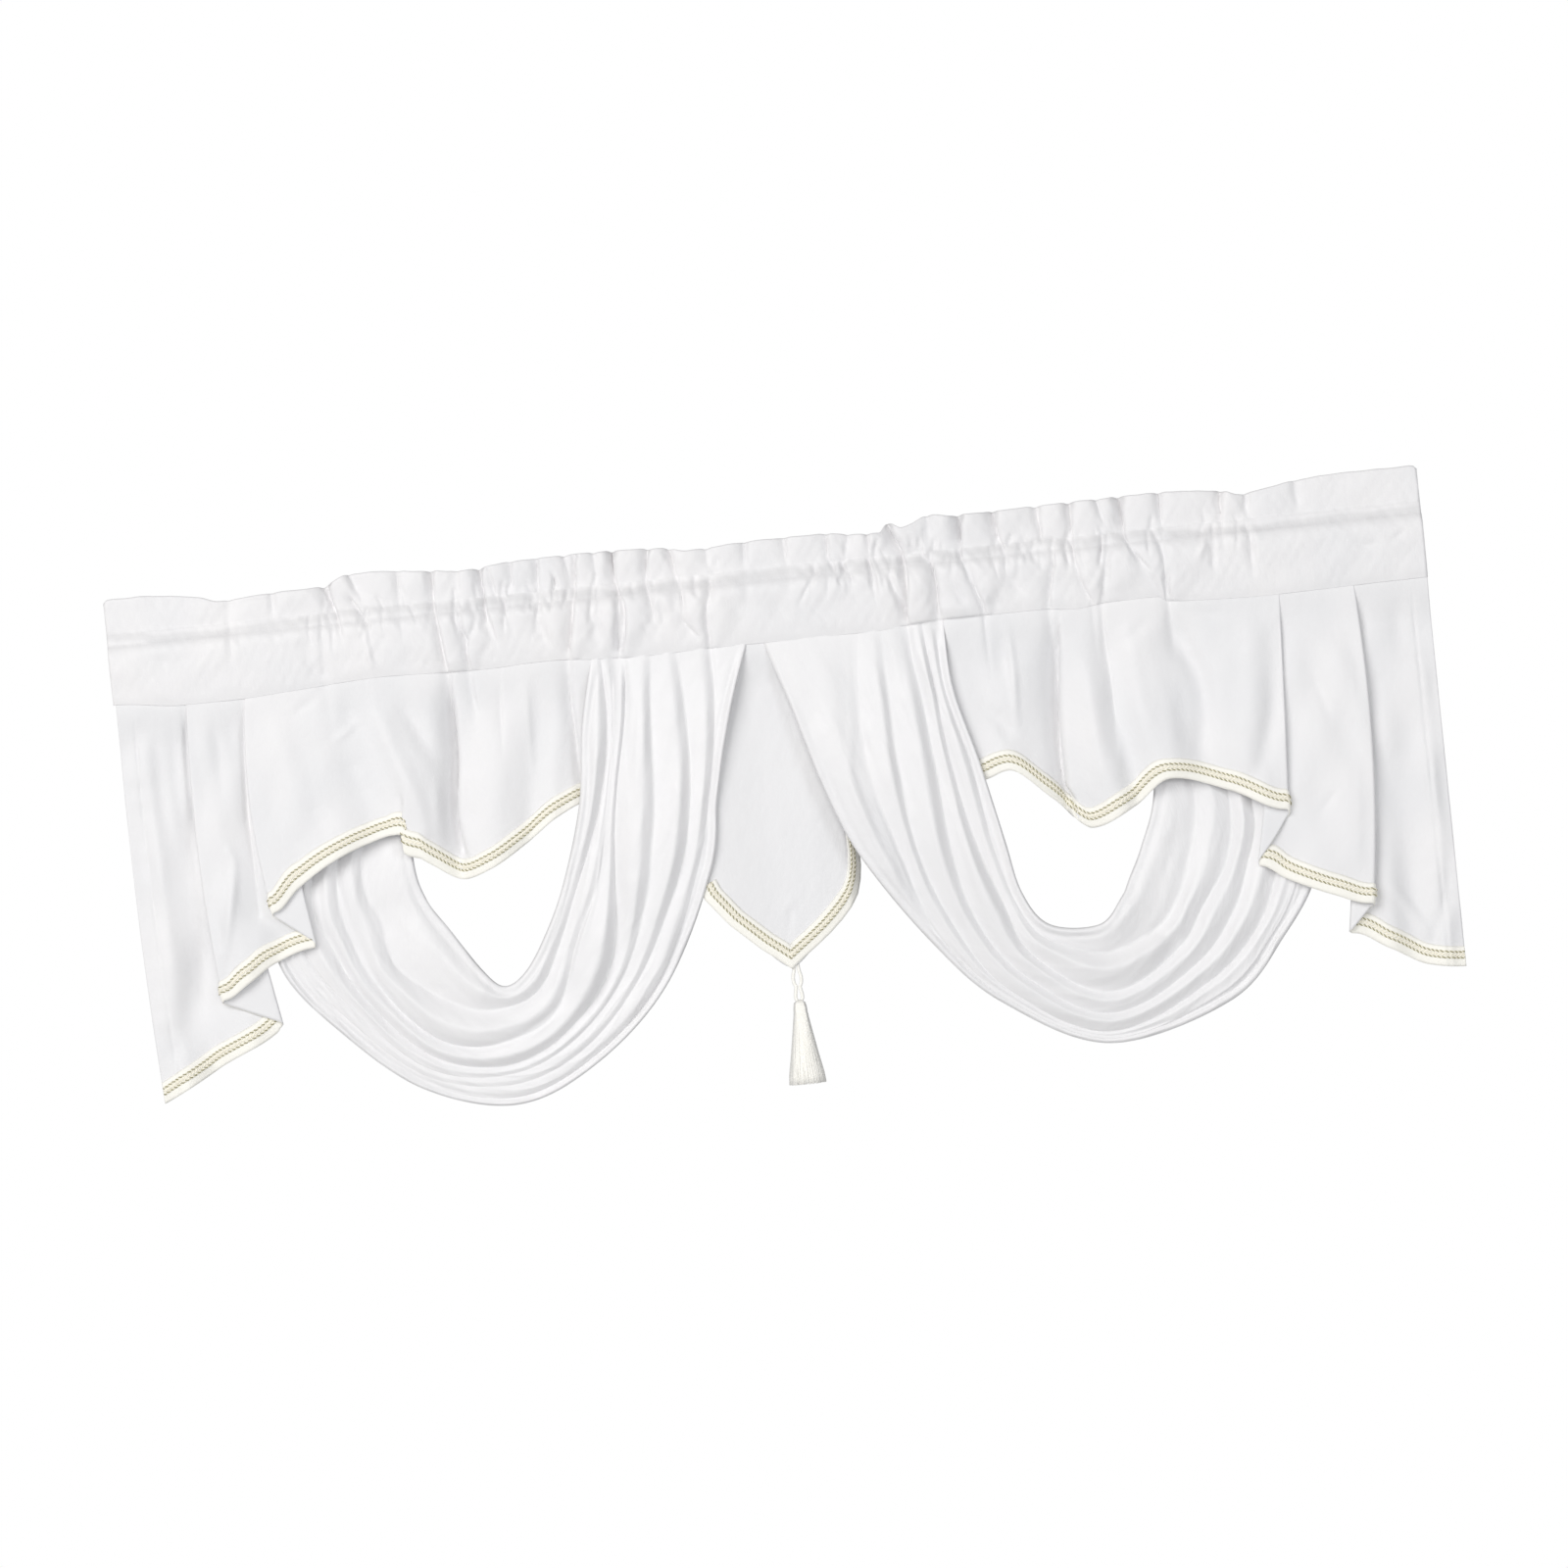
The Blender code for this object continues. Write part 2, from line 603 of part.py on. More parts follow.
def swag_point(sections, valleys, pleat, share, t):
    """A point of a swag: its pleat counted from the upper edge, its share across that pleat, and
    its section number t."""
    upper_x = read_rows([row.upper[0] for row in sections], t)
    upper_z = read_rows([row.upper[1] for row in sections], t)
    lower_x = read_rows([row.lower[0] for row in sections], t)
    lower_z = read_rows([row.lower[1] for row in sections], t)
    count = len(valleys)
    stops = [0.0] + [read_rows([row.valleys[k] for row in sections], t) for k in range(count)] + [1.0]
    across = mix(stops[pleat], stops[pleat + 1], share)
    x = mix(upper_x, lower_x, across)
    z = mix(upper_z, lower_z, across)
    width = (stops[pleat + 1] - stops[pleat]) * math.hypot(lower_x - upper_x, lower_z - upper_z)
    swell = min(read_rows([row.swell for row in SWAG_LIES], t), SWELL_OF_WIDTH * width)
    rounds = share
    if pleat == 0:
        rounds = mix(EDGE_SHARE, 1.0, share)
    if pleat == count:
        rounds = mix(0.0, 1 - EDGE_SHARE, share)
    height = 1 - abs(2 * rounds - 1) ** SWELL_POWER
    progress = t / (len(sections) - 1)
    beside = []
    for k in (pleat - 1, pleat):
        sunk = 1.0
        if 0 <= k < count:
            inner, low, outer = valleys[k]
            sunk = mix(inner, low, 2 * progress) if progress < 0.5 else mix(low, outer, 2 * progress - 1)
        beside.append(sunk)
    sunk = mix(beside[0], beside[1], share)
    height = 1 - sunk * (1 - height)
    y = read_rows([row.valley_y for row in SWAG_LIES], t) - swell * height
    y += read_rows([row.step for row in SWAG_LIES], t) * (pleat + share)
    if t == 0 or t == len(sections) - 1:
        z = seam_top(x)
    return Vector((x, y, z))


def add_swag(name, sections, valleys):
    pleats = len(valleys) + 1
    stops = [0.0]
    for first, last, steps in LENGTH_STEPS:
        stops += [mix(first, last, n / steps) for n in range(1, steps + 1)]

    def corner(i, j):
        pleat = min(i // PLEAT_STEPS, pleats - 1)
        share = i / PLEAT_STEPS - pleat
        return swag_point(sections, valleys, pleat, share, stops[j])

    return add_sheet(name, pleats * PLEAT_STEPS, len(stops) - 1, corner, CLOTH, SATIN, SATIN_ROUGHNESS)


# Centre pennant: the left and right edge at the seam and at the foot, and the foot as x, z
PENNANT_SEAM = (-94.0, 70.0)
PENNANT_FOOT = (-99.0, 75.0)
PENNANT_LINE = (
    (-99, -296), (-95, -314), (-71, -345), (-41, -373), (-12, -396), (17, -374), (44, -352),
    (66, -327), (75, -296),
)
PENNANT_Y = 3.6
PENNANT_DROP = 330.0
# Its two slack folds: their depth at the foot, and the place and width of the wave they make
SLACK_DEPTH = 1.1
SLACK_X = -30.0
SLACK_WIDTH = 17.0
PENNANT_ACROSS = 16
PENNANT_DOWN = 8
# A corner of the braid is mitred as if it were at least this straight
STRAIGHTEST_MITRE = 0.6
# The path of its braid, round the foot from one side edge to the other: x, z
PENNANT_BRAID = (
    (-99, -284), (-99, -300), (-93, -317), (-82, -331), (-71, -345), (-56, -359), (-41, -373),
    (-26, -384.5), (-12, -396.0), (2, -385), (17, -374), (31, -363), (44, -352), (56, -340),
    (66, -327), (72, -313), (75, -298), (75, -282),
)


def pennant_y(x, z):
    """Depth of the pennant: two slack folds that fade toward the seam."""
    down = min(1.0, max(0.0, (SEAM_Z - z) / PENNANT_DROP))
    return PENNANT_Y - SLACK_DEPTH * down * math.cos((x - SLACK_X) / SLACK_WIDTH)


def add_pennant():
    def corner(i, j):
        share = i / PENNANT_ACROSS
        seam_x = mix(PENNANT_SEAM[0], PENNANT_SEAM[1], share)
        foot_x = mix(PENNANT_FOOT[0], PENNANT_FOOT[1], share)
        down = j / PENNANT_DOWN
        x = mix(seam_x, foot_x, down)
        z = mix(seam_top(seam_x), read_line(PENNANT_LINE, foot_x), down)
        return Vector((x, pennant_y(x, z), z))

    return add_sheet("centre_pennant", PENNANT_ACROSS, PENNANT_DOWN, corner, CLOTH, SATIN, SATIN_ROUGHNESS)


def add_pennant_braid():
    path = [Vector((x, 0.0, z)) for x, z in PENNANT_BRAID]
    last = len(path) - 1
    lift = CLOTH / 2 + BRAID_GAP + BRAID_THICKNESS / 2

    def corner(i, j):
        ahead = (path[min(i + 1, last)] - path[i]).normalized()
        behind = (path[i] - path[max(i - 1, 0)]).normalized()
        if i == 0:
            behind = ahead
        if i == last:
            ahead = behind
        along = (ahead + behind).normalized()
        inward = Vector((-along.z, 0.0, along.x))
        mitre = 1.0 / max(STRAIGHTEST_MITRE, along.dot(ahead))
        point = path[i] + inward * mitre * (j / 2 * BRAID_WIDTH - BRAID_OVERHANG)
        point.y = pennant_y(point.x, point.z) - lift
        return point

    return add_sheet("trim_pennant", last, 2, corner, BRAID_THICKNESS, BRAID_COLOUR, BRAID_ROUGHNESS)


# Tassel loop: a closed cord that is sewn behind the pennant's tip, makes a ring below it,
# closes up and runs as two strands into the tassel's head: half width, z
LOOP_OUTLINE = (
    (0.0, -384.0), (2.6, -386.5), (3.6, -391.0), (3.4, -396.5), (2.2, -402.0), (1.5, -408.0),
    (2.0, -415.0), (2.6, -421.0), (2.6, -425.0),
)
LOOP_FOOT_Z = -427.8


def add_tassel_loop():
    right = [(TASSEL_X + half, z) for half, z in LOOP_OUTLINE]
    left = [(TASSEL_X - half, z) for half, z in reversed(LOOP_OUTLINE[1:])]
    foot = [(TASSEL_X, LOOP_FOOT_Z)]
    outline = right + foot + left
    curve = bpy.data.curves.new("tassel_loop_path", "CURVE")
    curve.dimensions = "3D"
    curve.bevel_depth = CORD_THICKNESS / 2 * MM
    curve.bevel_resolution = 1
    spline = curve.splines.new("POLY")
    spline.points.add(len(outline) - 1)
    spline.use_cyclic_u = True
    for point, (x, z) in zip(spline.points, outline):
        point.co = (x * MM, TASSEL_Y * MM, z * MM, 1.0)
    holder = bpy.data.objects.new("tassel_loop_path", curve)
    mesh = bpy.data.meshes.new_from_object(holder)
    bpy.data.objects.remove(holder, do_unlink=True)
    bpy.data.curves.remove(curve)
    bm = bmesh.new()
    bm.from_mesh(mesh)
    bpy.data.meshes.remove(mesh)
    bmesh.ops.scale(bm, vec=(1 / MM, 1 / MM, 1 / MM), verts=bm.verts)
    bmesh.ops.recalc_face_normals(bm, faces=bm.faces)
    return add_object("tassel_loop", bm, TASSEL_COLOUR, TASSEL_ROUGHNESS)


# Rings of strands in the tassel: how many, the radius at the root and the radius at the foot
StrandRing = namedtuple("StrandRing", "count root foot")
STRAND_RINGS = [StrandRing(*row) for row in (
    (5, 1.4, 4.0),
    (12, 3.3, 11.0),
    (18, 5.1, 18.5),
)]
STRAND_ROOT_WIDTH = 1.1
STRAND_FOOT_WIDTH = 2.3
STRAND_SIDES = 3
# How far the roots reach up into the head, and how unevenly the strands are cut
STRAND_ROOT_DEPTH = 1.5
STRAND_UNEVENNESS = 2.0
UNEVEN_STEP = 2.7
HEAD_PROFILE = (
    (0.0, 0.0), (3.4, 0.0), (5.4, -1.6), (6.2, -4.4), (5.6, -7.2), (4.9, -8.4), (5.9, -9.8),
    (6.2, -TASSEL_HEAD_HEIGHT), (0.0, -TASSEL_HEAD_HEIGHT),
)
HEAD_SIDES = 16


def turned_head():
    """The tassel's bound head, turned round its own axis from half a profile."""
    bm = bmesh.new()
    verts = [bm.verts.new((radius, 0.0, z)) for radius, z in HEAD_PROFILE]
    edges = [bm.edges.new(pair) for pair in zip(verts, verts[1:])]
    bmesh.ops.spin(
        bm, geom=verts + edges, cent=(0, 0, 0), axis=(0, 0, 1), angle=math.tau,
        steps=HEAD_SIDES, use_merge=True,
    )
    bmesh.ops.remove_doubles(bm, verts=bm.verts, dist=MERGE)
    bmesh.ops.recalc_face_normals(bm, faces=bm.faces)
    bmesh.ops.translate(bm, vec=(TASSEL_X, TASSEL_Y, TASSEL_TOP), verts=bm.verts)
    return bm


def add_strands(bm):
    """Tapered strands that start inside the head and fan out to the tassel's foot."""
    root_z = TASSEL_TOP - TASSEL_HEAD_HEIGHT + STRAND_ROOT_DEPTH
    for ring in STRAND_RINGS:
        for n in range(ring.count):
            angle = math.tau * (n + 0.5 * (ring.count % 2)) / ring.count
            out = Vector((math.cos(angle), math.sin(angle), 0.0))
            uneven = STRAND_UNEVENNESS * math.sin(UNEVEN_STEP * n + ring.root)
            made = bmesh.ops.create_cone(
                bm, cap_ends=True, segments=STRAND_SIDES, depth=1.0,
                radius1=STRAND_FOOT_WIDTH / 2, radius2=STRAND_ROOT_WIDTH / 2,
            )
            for vert in made["verts"]:
                at_root = vert.co.z > 0
                radius = ring.root if at_root else ring.foot
                z = root_z if at_root else TASSEL_FOOT + abs(uneven)
                flat = Vector((vert.co.x, vert.co.y, 0.0))
                vert.co = flat + out * radius
                vert.co += Vector((TASSEL_X, TASSEL_Y, z))


def add_tassel():
    head = add_object("tassel", turned_head(), TASSEL_COLOUR, TASSEL_ROUGHNESS)
    bm = bmesh.new()
    add_strands(bm)
    strands = add_object("tassel_strands", bm, TASSEL_COLOUR, TASSEL_ROUGHNESS)
    cutters = bpy.data.collections.new(PART + "_cutters")
    bpy.context.scene.collection.children.link(cutters)
    part_collection.objects.unlink(strands)
    cutters.objects.link(strands)
    strands.hide_render = True
    strands.display_type = "WIRE"
    join = head.modifiers.new("strands fused into the head", "BOOLEAN")
    join.operation = "UNION"
    join.solver = "EXACT"
    join.object = strands
    return head


add_heading_band()
add_side_panel("side_panel_left", LEFT_TIERS, LEFT_FOLDS)
add_side_panel("side_panel_right", RIGHT_TIERS, RIGHT_FOLDS)
add_panel_braid("trim_left", LEFT_TIERS, LEFT_FOLDS)
add_panel_braid("trim_right", RIGHT_TIERS, RIGHT_FOLDS)
add_swag("swag_left", LEFT_SWAG, LEFT_VALLEYS)
add_swag("swag_right", RIGHT_SWAG, RIGHT_VALLEYS)
add_pennant()
add_pennant_braid()
add_tassel_loop()
add_tassel()
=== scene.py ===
"""A rod pocket valance in white satin: a gathered heading, two pleated swags, a cascade panel at each
end, and a pointed pennant with a tassel, edged with cream and gold braid.

Sizes are in millimetres and are turned into metres where a mesh is made. +X runs to the right as
seen from the room, -Y faces the room and +Z is up; the origin is on the rod's line in the pocket.
"""
import math
from collections import namedtuple

import bmesh
import bpy
import numpy as np
from mathutils import Matrix, Vector


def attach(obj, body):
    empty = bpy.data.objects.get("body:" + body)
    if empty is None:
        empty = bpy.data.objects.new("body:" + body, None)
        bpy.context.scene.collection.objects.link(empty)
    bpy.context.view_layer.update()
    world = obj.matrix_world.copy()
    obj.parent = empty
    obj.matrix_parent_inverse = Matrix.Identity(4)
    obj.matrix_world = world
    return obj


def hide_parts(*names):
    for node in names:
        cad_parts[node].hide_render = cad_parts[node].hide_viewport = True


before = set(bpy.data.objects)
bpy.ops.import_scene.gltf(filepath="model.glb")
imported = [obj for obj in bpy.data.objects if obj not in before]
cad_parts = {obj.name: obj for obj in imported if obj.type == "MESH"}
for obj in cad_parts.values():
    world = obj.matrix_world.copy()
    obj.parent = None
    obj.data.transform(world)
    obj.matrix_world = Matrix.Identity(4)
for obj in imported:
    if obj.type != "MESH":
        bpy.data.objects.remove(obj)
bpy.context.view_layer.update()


# Heading band. One long strip of white satin, folded over at the top and stitched along its length,
# so that a ruffle stands above the stitching and the rod's pocket hangs below it. Pushed together on
# the rod it gathers into folds, and its lower seam holds the tops of all the hanging cloths.
MM = 0.001
BAND_HALF = 673.5
SATIN_THICKNESS = 0.5
STITCH_Z = 12.5
SEAM_Z = -62.0

# The lower seam of the band: x, z
SEAM_LINE = (
    (-673, -58), (-601, -65), (-551, -65), (-491, -62), (-401, -57), (-301, -60), (-221, -58),
    (-141, -63), (-41, -62), (99, -62), (179, -57), (279, -57), (314, -60), (369, -56),
    (429, -63), (499, -66), (673, -64),
)

# The top edge of the ruffle: x, z
RUFFLE_LINE = (
    (-673, 45), (-671, 48), (-666, 49), (-641, 49), (-576, 42), (-556, 36), (-501, 39),
    (-451, 40), (-421, 50), (-401, 50), (-351, 46), (-301, 42), (-256, 46), (-181, 47),
    (-101, 44), (-76, 39), (-1, 42), (59, 42), (99, 38), (121, 37), (131, 47), (144, 40),
    (174, 50), (199, 47), (399, 49), (474, 44), (489, 39), (549, 47), (599, 50), (666, 50),
    (671, 49), (673, 46),
)

# Each fold of the gathering: x at the ruffle's top edge, at the stitching and at the lower seam,
# its depth in the ruffle, how far the pocket swells beside it, and the z down to which it runs
Gather = namedtuple("Gather", "top stitch seam depth pucker foot")
GATHERS = [Gather(*row) for row in (
    (-673.5, -673.5, -673.5, 0.0, 0.0, -20),
    (-622, -622, -622, 1.0, 0.0, -20),
    (-546, -546, -546, 4.0, 1.5, -24),
    (-501, -501, -501, 2.0, 1.0, -20),
    (-448, -438, -436, 7.0, 4.0, -16),
    (-421, -406, -400, 6.0, 4.0, -14),
    (-371, -373, -374, 3.0, 2.0, -30),
    (-338, -338, -332, 5.0, 3.0, -75),
    (-311, -313, -308, 3.0, 3.0, -75),
    (-289, -287, -279, 7.0, 4.0, -34),
    (-256, -258, -262, 3.0, 3.0, -30),
    (-229, -229, -232, 3.0, 3.0, -30),
    (-201, -196, -204, 5.0, 4.0, -75),
    (-171, -169, -176, 5.0, 3.0, -40),
    (-152, -150, -156, 7.0, 5.0, -75),
    (-115, -119, -112, 5.0, 4.0, -34),
    (-94, -86, -84, 5.0, 3.0, -40),
    (-56, -56, -62, 6.0, 5.0, -75),
    (-16, -18, -18, 3.0, 2.0, -24),
    (24, 25, 25, 3.0, 2.0, -24),
    (67, 67, 60, 5.0, 4.0, -30),
    (89, 89, 88, 4.0, 3.0, -24),
    (109, 109, 113, 5.0, 3.0, -40),
    (131, 145, 141, 7.0, 5.0, -75),
    (172, 173, 173, 6.0, 5.0, -75),
    (203, 205, 222, 6.0, 4.0, -75),
    (239, 245, 247, 5.0, 3.0, -24),
    (282, 282, 282, 5.0, 3.0, -30),
    (316, 316, 314, 5.0, 3.0, -30),
    (345, 352, 340, 5.0, 3.0, -75),
    (367, 371, 398, 6.0, 4.0, -40),
    (409, 409, 405, 5.0, 3.0, -75),
    (473, 470, 469, 5.0, 2.0, -22),
    (496, 495, 498, 4.0, 2.0, -44),
    (549, 549, 549, 2.0, 0.0, -20),
    (673.5, 673.5, 673.5, 0.0, 0.0, -20),
)]
# Columns lie closer together where the band is gathered
FINE_STEP = 1.65
PLAIN_STEP = 3.0
FEWEST_COLUMNS = 6
GATHERED_ZONES = ((-480, -50), (40, 520))
# How flat the swell between two folds is at its top, and how far it leans to one side: the most,
# from 0 to 0.5, and the shares of it that a swell may have
SWELL_POWER = 2.4
SWELL_LEAN = 0.28
LEANS = (-1.0, -1.0, -0.6, 0.4)
LEAN_SEED = 4
# How far the ruffle stands out between its folds, as a share of their depth, and how soon
RUFFLE_FULL = 1.1
RUFFLE_GROWTH = 1.2
# Each fold dips the ruffle's top edge: by this share of its depth, over this half width
NOTCH_SHARE = 0.24
NOTCH_WIDTH = 3.4
# Between its folds the top edge wavers a little: height, length along the band and down it, the place
# down it where the waves are read, and the seed
Waver = namedtuple("Waver", "height along down place seed")
EDGE_WAVER = Waver(0.5, 26.0, 40.0, 9, 8)

# The pocket's face from the lower seam up to the stitching: z, y. Under the stitching a narrow
# strip is pressed flat, and the pocket swells out below it.
POCKET_FACE = (
    (-62, -5.0), (-59, -6.0), (-50, -7.6), (-38, -8.8), (-24, -10.0), (-12, -10.4), (-6, -9.4),
    (-2, -7.2), (0.5, -4.6), (3, -2.9), (7, -2.3), (10, -2.0), (12, -1.4), (13, -0.9),
)
# The swells grow over this height under the stitching, and fade out over another at their foot
SWELL_GROWTH = 14.0
SWELL_FADE = 22.0
# The creases reach the seam over this height, where the cloths that it holds sink with them
FOOT_BLEND = 12.0
DEEPEST_SINK = 4.5
# The turned edge at the foot of the face, and the pocket's back from the stitching down: y, z
POCKET_TURN = ((-4.2, -60.5), (-4.3, -62.3), (-4.6, -62.7), (-4.95, -62.5))
POCKET_BACK = (
    (1.0, 12.5), (4.0, 12.0), (8.0, 9.8), (11.0, 5.0), (12.4, -5.0), (12.7, -18.0),
    (11.0, -34.0), (7.2, -50.0), (5.4, -60.0), (5.2, -62.0),
)
FACE_HEIGHTS = np.concatenate([np.linspace(-62, -6, 25), (-4, -2, -0.8, 0, 0.8, 2), (5, 8, 11, 12.4)])
BACK_STEPS = 7
# The pocket's back is smooth below this height, and takes the folds of the ruffle above it
BACK_SMOOTH_Z = -5.0
BACK_FADE = 15.0
# Below this height the pocket follows the seam's wavy line, the more the lower, over this drop
SEAM_FOLLOW_Z = -30.0
SEAM_FOLLOW_DROP = 22.0
RUFFLE_STEPS = 12
RUFFLE_BACK_STEPS = 5
RUFFLE_TURN_STEPS = 4
# Half the gap between the ruffle's two layers, and the share of it that the stitching leaves to the
# front layer and to the back one
RUFFLE_HALF_GAP = 1.4
FRONT_GAP_LEFT = 0.6
BACK_GAP_LEFT = 0.5
# The ruffle starts this far over the stitching, in the groove that the thread draws
RUFFLE_RISE = 0.4
# Creases don't draw the ruffle sideways above this height, and do so fully a little below it
UNDRAWN_Z = 44.0
UNDRAWN_FADE = 6.0
# The folds are deeper in the ruffle than in the pocket, and come to that over this height
RUFFLE_DEEPER = 1.5
DEEPER_OVER = 12.0
# Slack swells of the band: height, length along the band and down it, seed
BAND_SWELLS = ((0.7, 60.0, 55.0, 3), (0.35, 17.0, 23.0, 4))
# The pressed strip under the stitching carries painted shade in its colour, for the shade that falls
# on it under the ruffle: the z of its foot, the share of the colour that the painted shade leaves
# between two shares of its height, and how far its edges wander
STRIP_FOOT_Z = 0.8
STRIP_PAINTED_SHADE = 0.905
STRIP_SHARES = (0.4, 0.7)
STRIP_UNEVEN = 7.0


def through(rows, x):
    """Read a smooth curve through rows of (x, value) at x, without overshoot at its peaks."""
    place = np.array([row[0] for row in rows], float)
    value = np.array([row[1] for row in rows], float)
    x = np.clip(x, place[0], place[-1])
    i = np.clip(np.searchsorted(place, x, side="right") - 1, 0, len(place) - 2)
    step = np.diff(place)
    rise = np.diff(value) / step
    slope = np.zeros(len(place))
    turns = rise[:-1] * rise[1:] <= 0
    both = np.where(turns, 1.0, rise[:-1] + rise[1:])
    slope[1:-1] = np.where(turns, 0.0, 2 * rise[:-1] * rise[1:] / both)
    t = (x - place[i]) / step[i]
    blend = (3 - 2 * t) * t * t
    return (
        (1 - blend) * value[i] + blend * value[i + 1]
        + t * (1 - t) ** 2 * step[i] * slope[i]
        - t * t * (1 - t) * step[i] * slope[i + 1]
    )


def between(values, t):
    """Read a smooth curve through evenly numbered values at t, where t=2.5 is half way from 2 to 3."""
    values = np.array(values, float)
    last = len(values) - 1
    i = np.clip(np.floor(t).astype(int), 0, last - 1)
    u = t - i
    before = values[np.maximum(i - 1, 0)]
    here = values[i]
    ahead = values[i + 1]
    beyond = values[np.minimum(i + 2, last)]
    return 0.5 * (
        2 * here + (ahead - before) * u
        + (2 * before - 5 * here + 4 * ahead - beyond) * u * u
        + (3 * here - before - 3 * ahead + beyond) * u * u * u
    )


def mix(a, b, t):
    return a + (b - a) * t


def ease(t):
    """0 to 1 with soft ends."""
    t = np.clip(t, 0.0, 1.0)
    return t * t * (3 - 2 * t)


# A crease in a cloth's front face: its path as x, z; how far it sinks (a ridge is negative); its
# half width; the share of its depth that is left at its start and at its end; and its half width
# on the right, where that is another
Crease = namedtuple("Crease", "path depth width start end right", defaults=(None,))
CREASE_STEPS = 7
# A crease reaches this many half widths, and has its full depth between these shares of its length
CREASE_REACH = 4
CREASE_FULL = (0.35, 0.65)
# A crease with two widths comes to a line, and one with a single width is round. The two sides of a
# line pass into each other this close to it.
LINE_POWER = 1.3
ROUND_POWER = 2.0
LINE_SOFTNESS = 0.2
# The cloth on the right of such a line is drawn toward it, the more the deeper it is: how far, as a
# share of the right half width, the depth at which it is drawn that far, and where it is drawn most
DRAWN_SHARE = 1.3
DRAWN_DEPTH = 8.0
DRAWN_AT = 1.8


def creased(x, z, creases):
    """How far the creases push each point of a cloth back, and how far they draw it to the left."""
    pushed = np.zeros(x.shape)
    drawn = np.zeros(x.shape)
    for crease in creases:
        corners = np.array(crease.path, float)
        t = np.linspace(0, len(corners) - 1, CREASE_STEPS * (len(corners) - 1) + 1)
        path_x = between(corners[:, 0], t)
        path_z = between(corners[:, 1], t)
        right = crease.right or crease.width
        power = LINE_POWER if crease.right else ROUND_POWER
        reach = CREASE_REACH * max(crease.width, right)
        near = (x > path_x.min() - reach) & (x < path_x.max() + reach)
        near &= (z > path_z.min() - reach) & (z < path_z.max() + reach)
        if not near.any():
            continue
        steps = np.hypot(np.diff(path_x), np.diff(path_z))
        run = np.concatenate([[0.0], np.cumsum(steps)])
        nearest = np.full(near.sum(), np.inf)
        along = np.zeros(near.sum())
        beside = np.zeros(near.sum())
        for k, step in enumerate(steps):
            dx = path_x[k + 1] - path_x[k]
            dz = path_z[k + 1] - path_z[k]
            share = ((x[near] - path_x[k]) * dx + (z[near] - path_z[k]) * dz) / step ** 2
            share = np.clip(share, 0, 1)
            sideways = x[near] - path_x[k] - share * dx
            away = np.hypot(sideways, z[near] - path_z[k] - share * dz)
            beside = np.where(away < nearest, sideways, beside)
            along = np.where(away < nearest, run[k] + share * step, along)
            nearest = np.minimum(nearest, away)
        strength = np.interp(along / run[-1], (0, *CREASE_FULL, 1), (crease.start, 1, 1, crease.end))
        turned = ease(0.5 + 0.5 * beside / np.maximum(nearest, LINE_SOFTNESS))
        half_width = mix(crease.width, right, turned)
        pushed[near] += crease.depth * strength * np.exp(-(nearest / half_width) ** power)
        if crease.right and crease.depth > 0:
            t = np.maximum(beside, 0) / (DRAWN_AT * right)
            most = DRAWN_SHARE * right * min(1.0, crease.depth / DRAWN_DEPTH)
            drawn[near] += most * strength * t ** 2 * np.exp(2 - 2 * t)
    return pushed, drawn


# Slack cloth swells in this many waves, whose lengths are spread by these shares, and whose sum is
# divided by a number that brings it to about -1 to 1
SLACK_WAVES = 7
WAVE_SPREAD = (0.5, 1.6)
SLACK_DIVISOR = 3


def slack(a, b, wave_a, wave_b, seed):
    """Small uneven swells of a slack cloth, between about -1 and 1, over its lengths a and b."""
    rng = np.random.default_rng(seed)
    total = np.zeros(np.broadcast(a, b).shape)
    for _ in range(SLACK_WAVES):
        turn_a, turn_b = rng.uniform(*WAVE_SPREAD, 2)
        phase_a, phase_b = rng.uniform(0, math.tau, 2)
        across = np.sin(math.tau * turn_a * a / wave_a + phase_a)
        total += across * np.sin(math.tau * turn_b * b / wave_b + phase_b)
    return total / SLACK_DIVISOR


def piece_from(name, mesh, material):
    """A piece of one material in the scene, smoothly shaded."""
    mesh.shade_smooth()
    mesh.materials.append(material)
    piece = bpy.data.objects.new(name, mesh)
    bpy.context.scene.collection.objects.link(piece)
    return piece


def cloth_from(name, points, cloth_x, cloth_y, thickness, material):
    """Make a sheet from points[i, j], which run i across and j down; cloth_x and cloth_y are the same
    places measured along the cloth, for its weave."""
    across, down = points.shape[0] - 1, points.shape[1] - 1
    bm = bmesh.new()
    bmesh.ops.create_grid(bm, x_segments=across, y_segments=down, size=0.5)
    places = []
    for vert in bm.verts:
        i = round((vert.co.x + 0.5) * across)
        j = round((0.5 - vert.co.y) * down)
        vert.co = points[i, j] * MM
        places.append((cloth_x[i, j], cloth_y[i, j], 0.0))
    mesh = bpy.data.meshes.new(name)
    bm.to_mesh(mesh)
    bm.free()
    weave = mesh.attributes.new("cloth_mm", "FLOAT_VECTOR", "POINT")
    weave.data.foreach_set("vector", np.array(places, np.float32).ravel())
    piece = piece_from(name, mesh, material)
    layer = piece.modifiers.new("cloth thickness", "SOLIDIFY")
    layer.thickness = thickness * MM
    layer.offset = 0.0
    return piece


def lengths(points, axis):
    """Distance along a grid of points, from its first row, in millimetres."""
    steps = np.linalg.norm(np.diff(points, axis=axis), axis=2)
    zero = np.zeros_like(np.take(steps, [0], axis=axis))
    return np.concatenate([zero, np.cumsum(steps, axis=axis)], axis=axis)


def add_node(tree, kind, **settings):
    node = tree.nodes.new(kind)
    for name, value in settings.items():
        setattr(node, name, value)
    return node


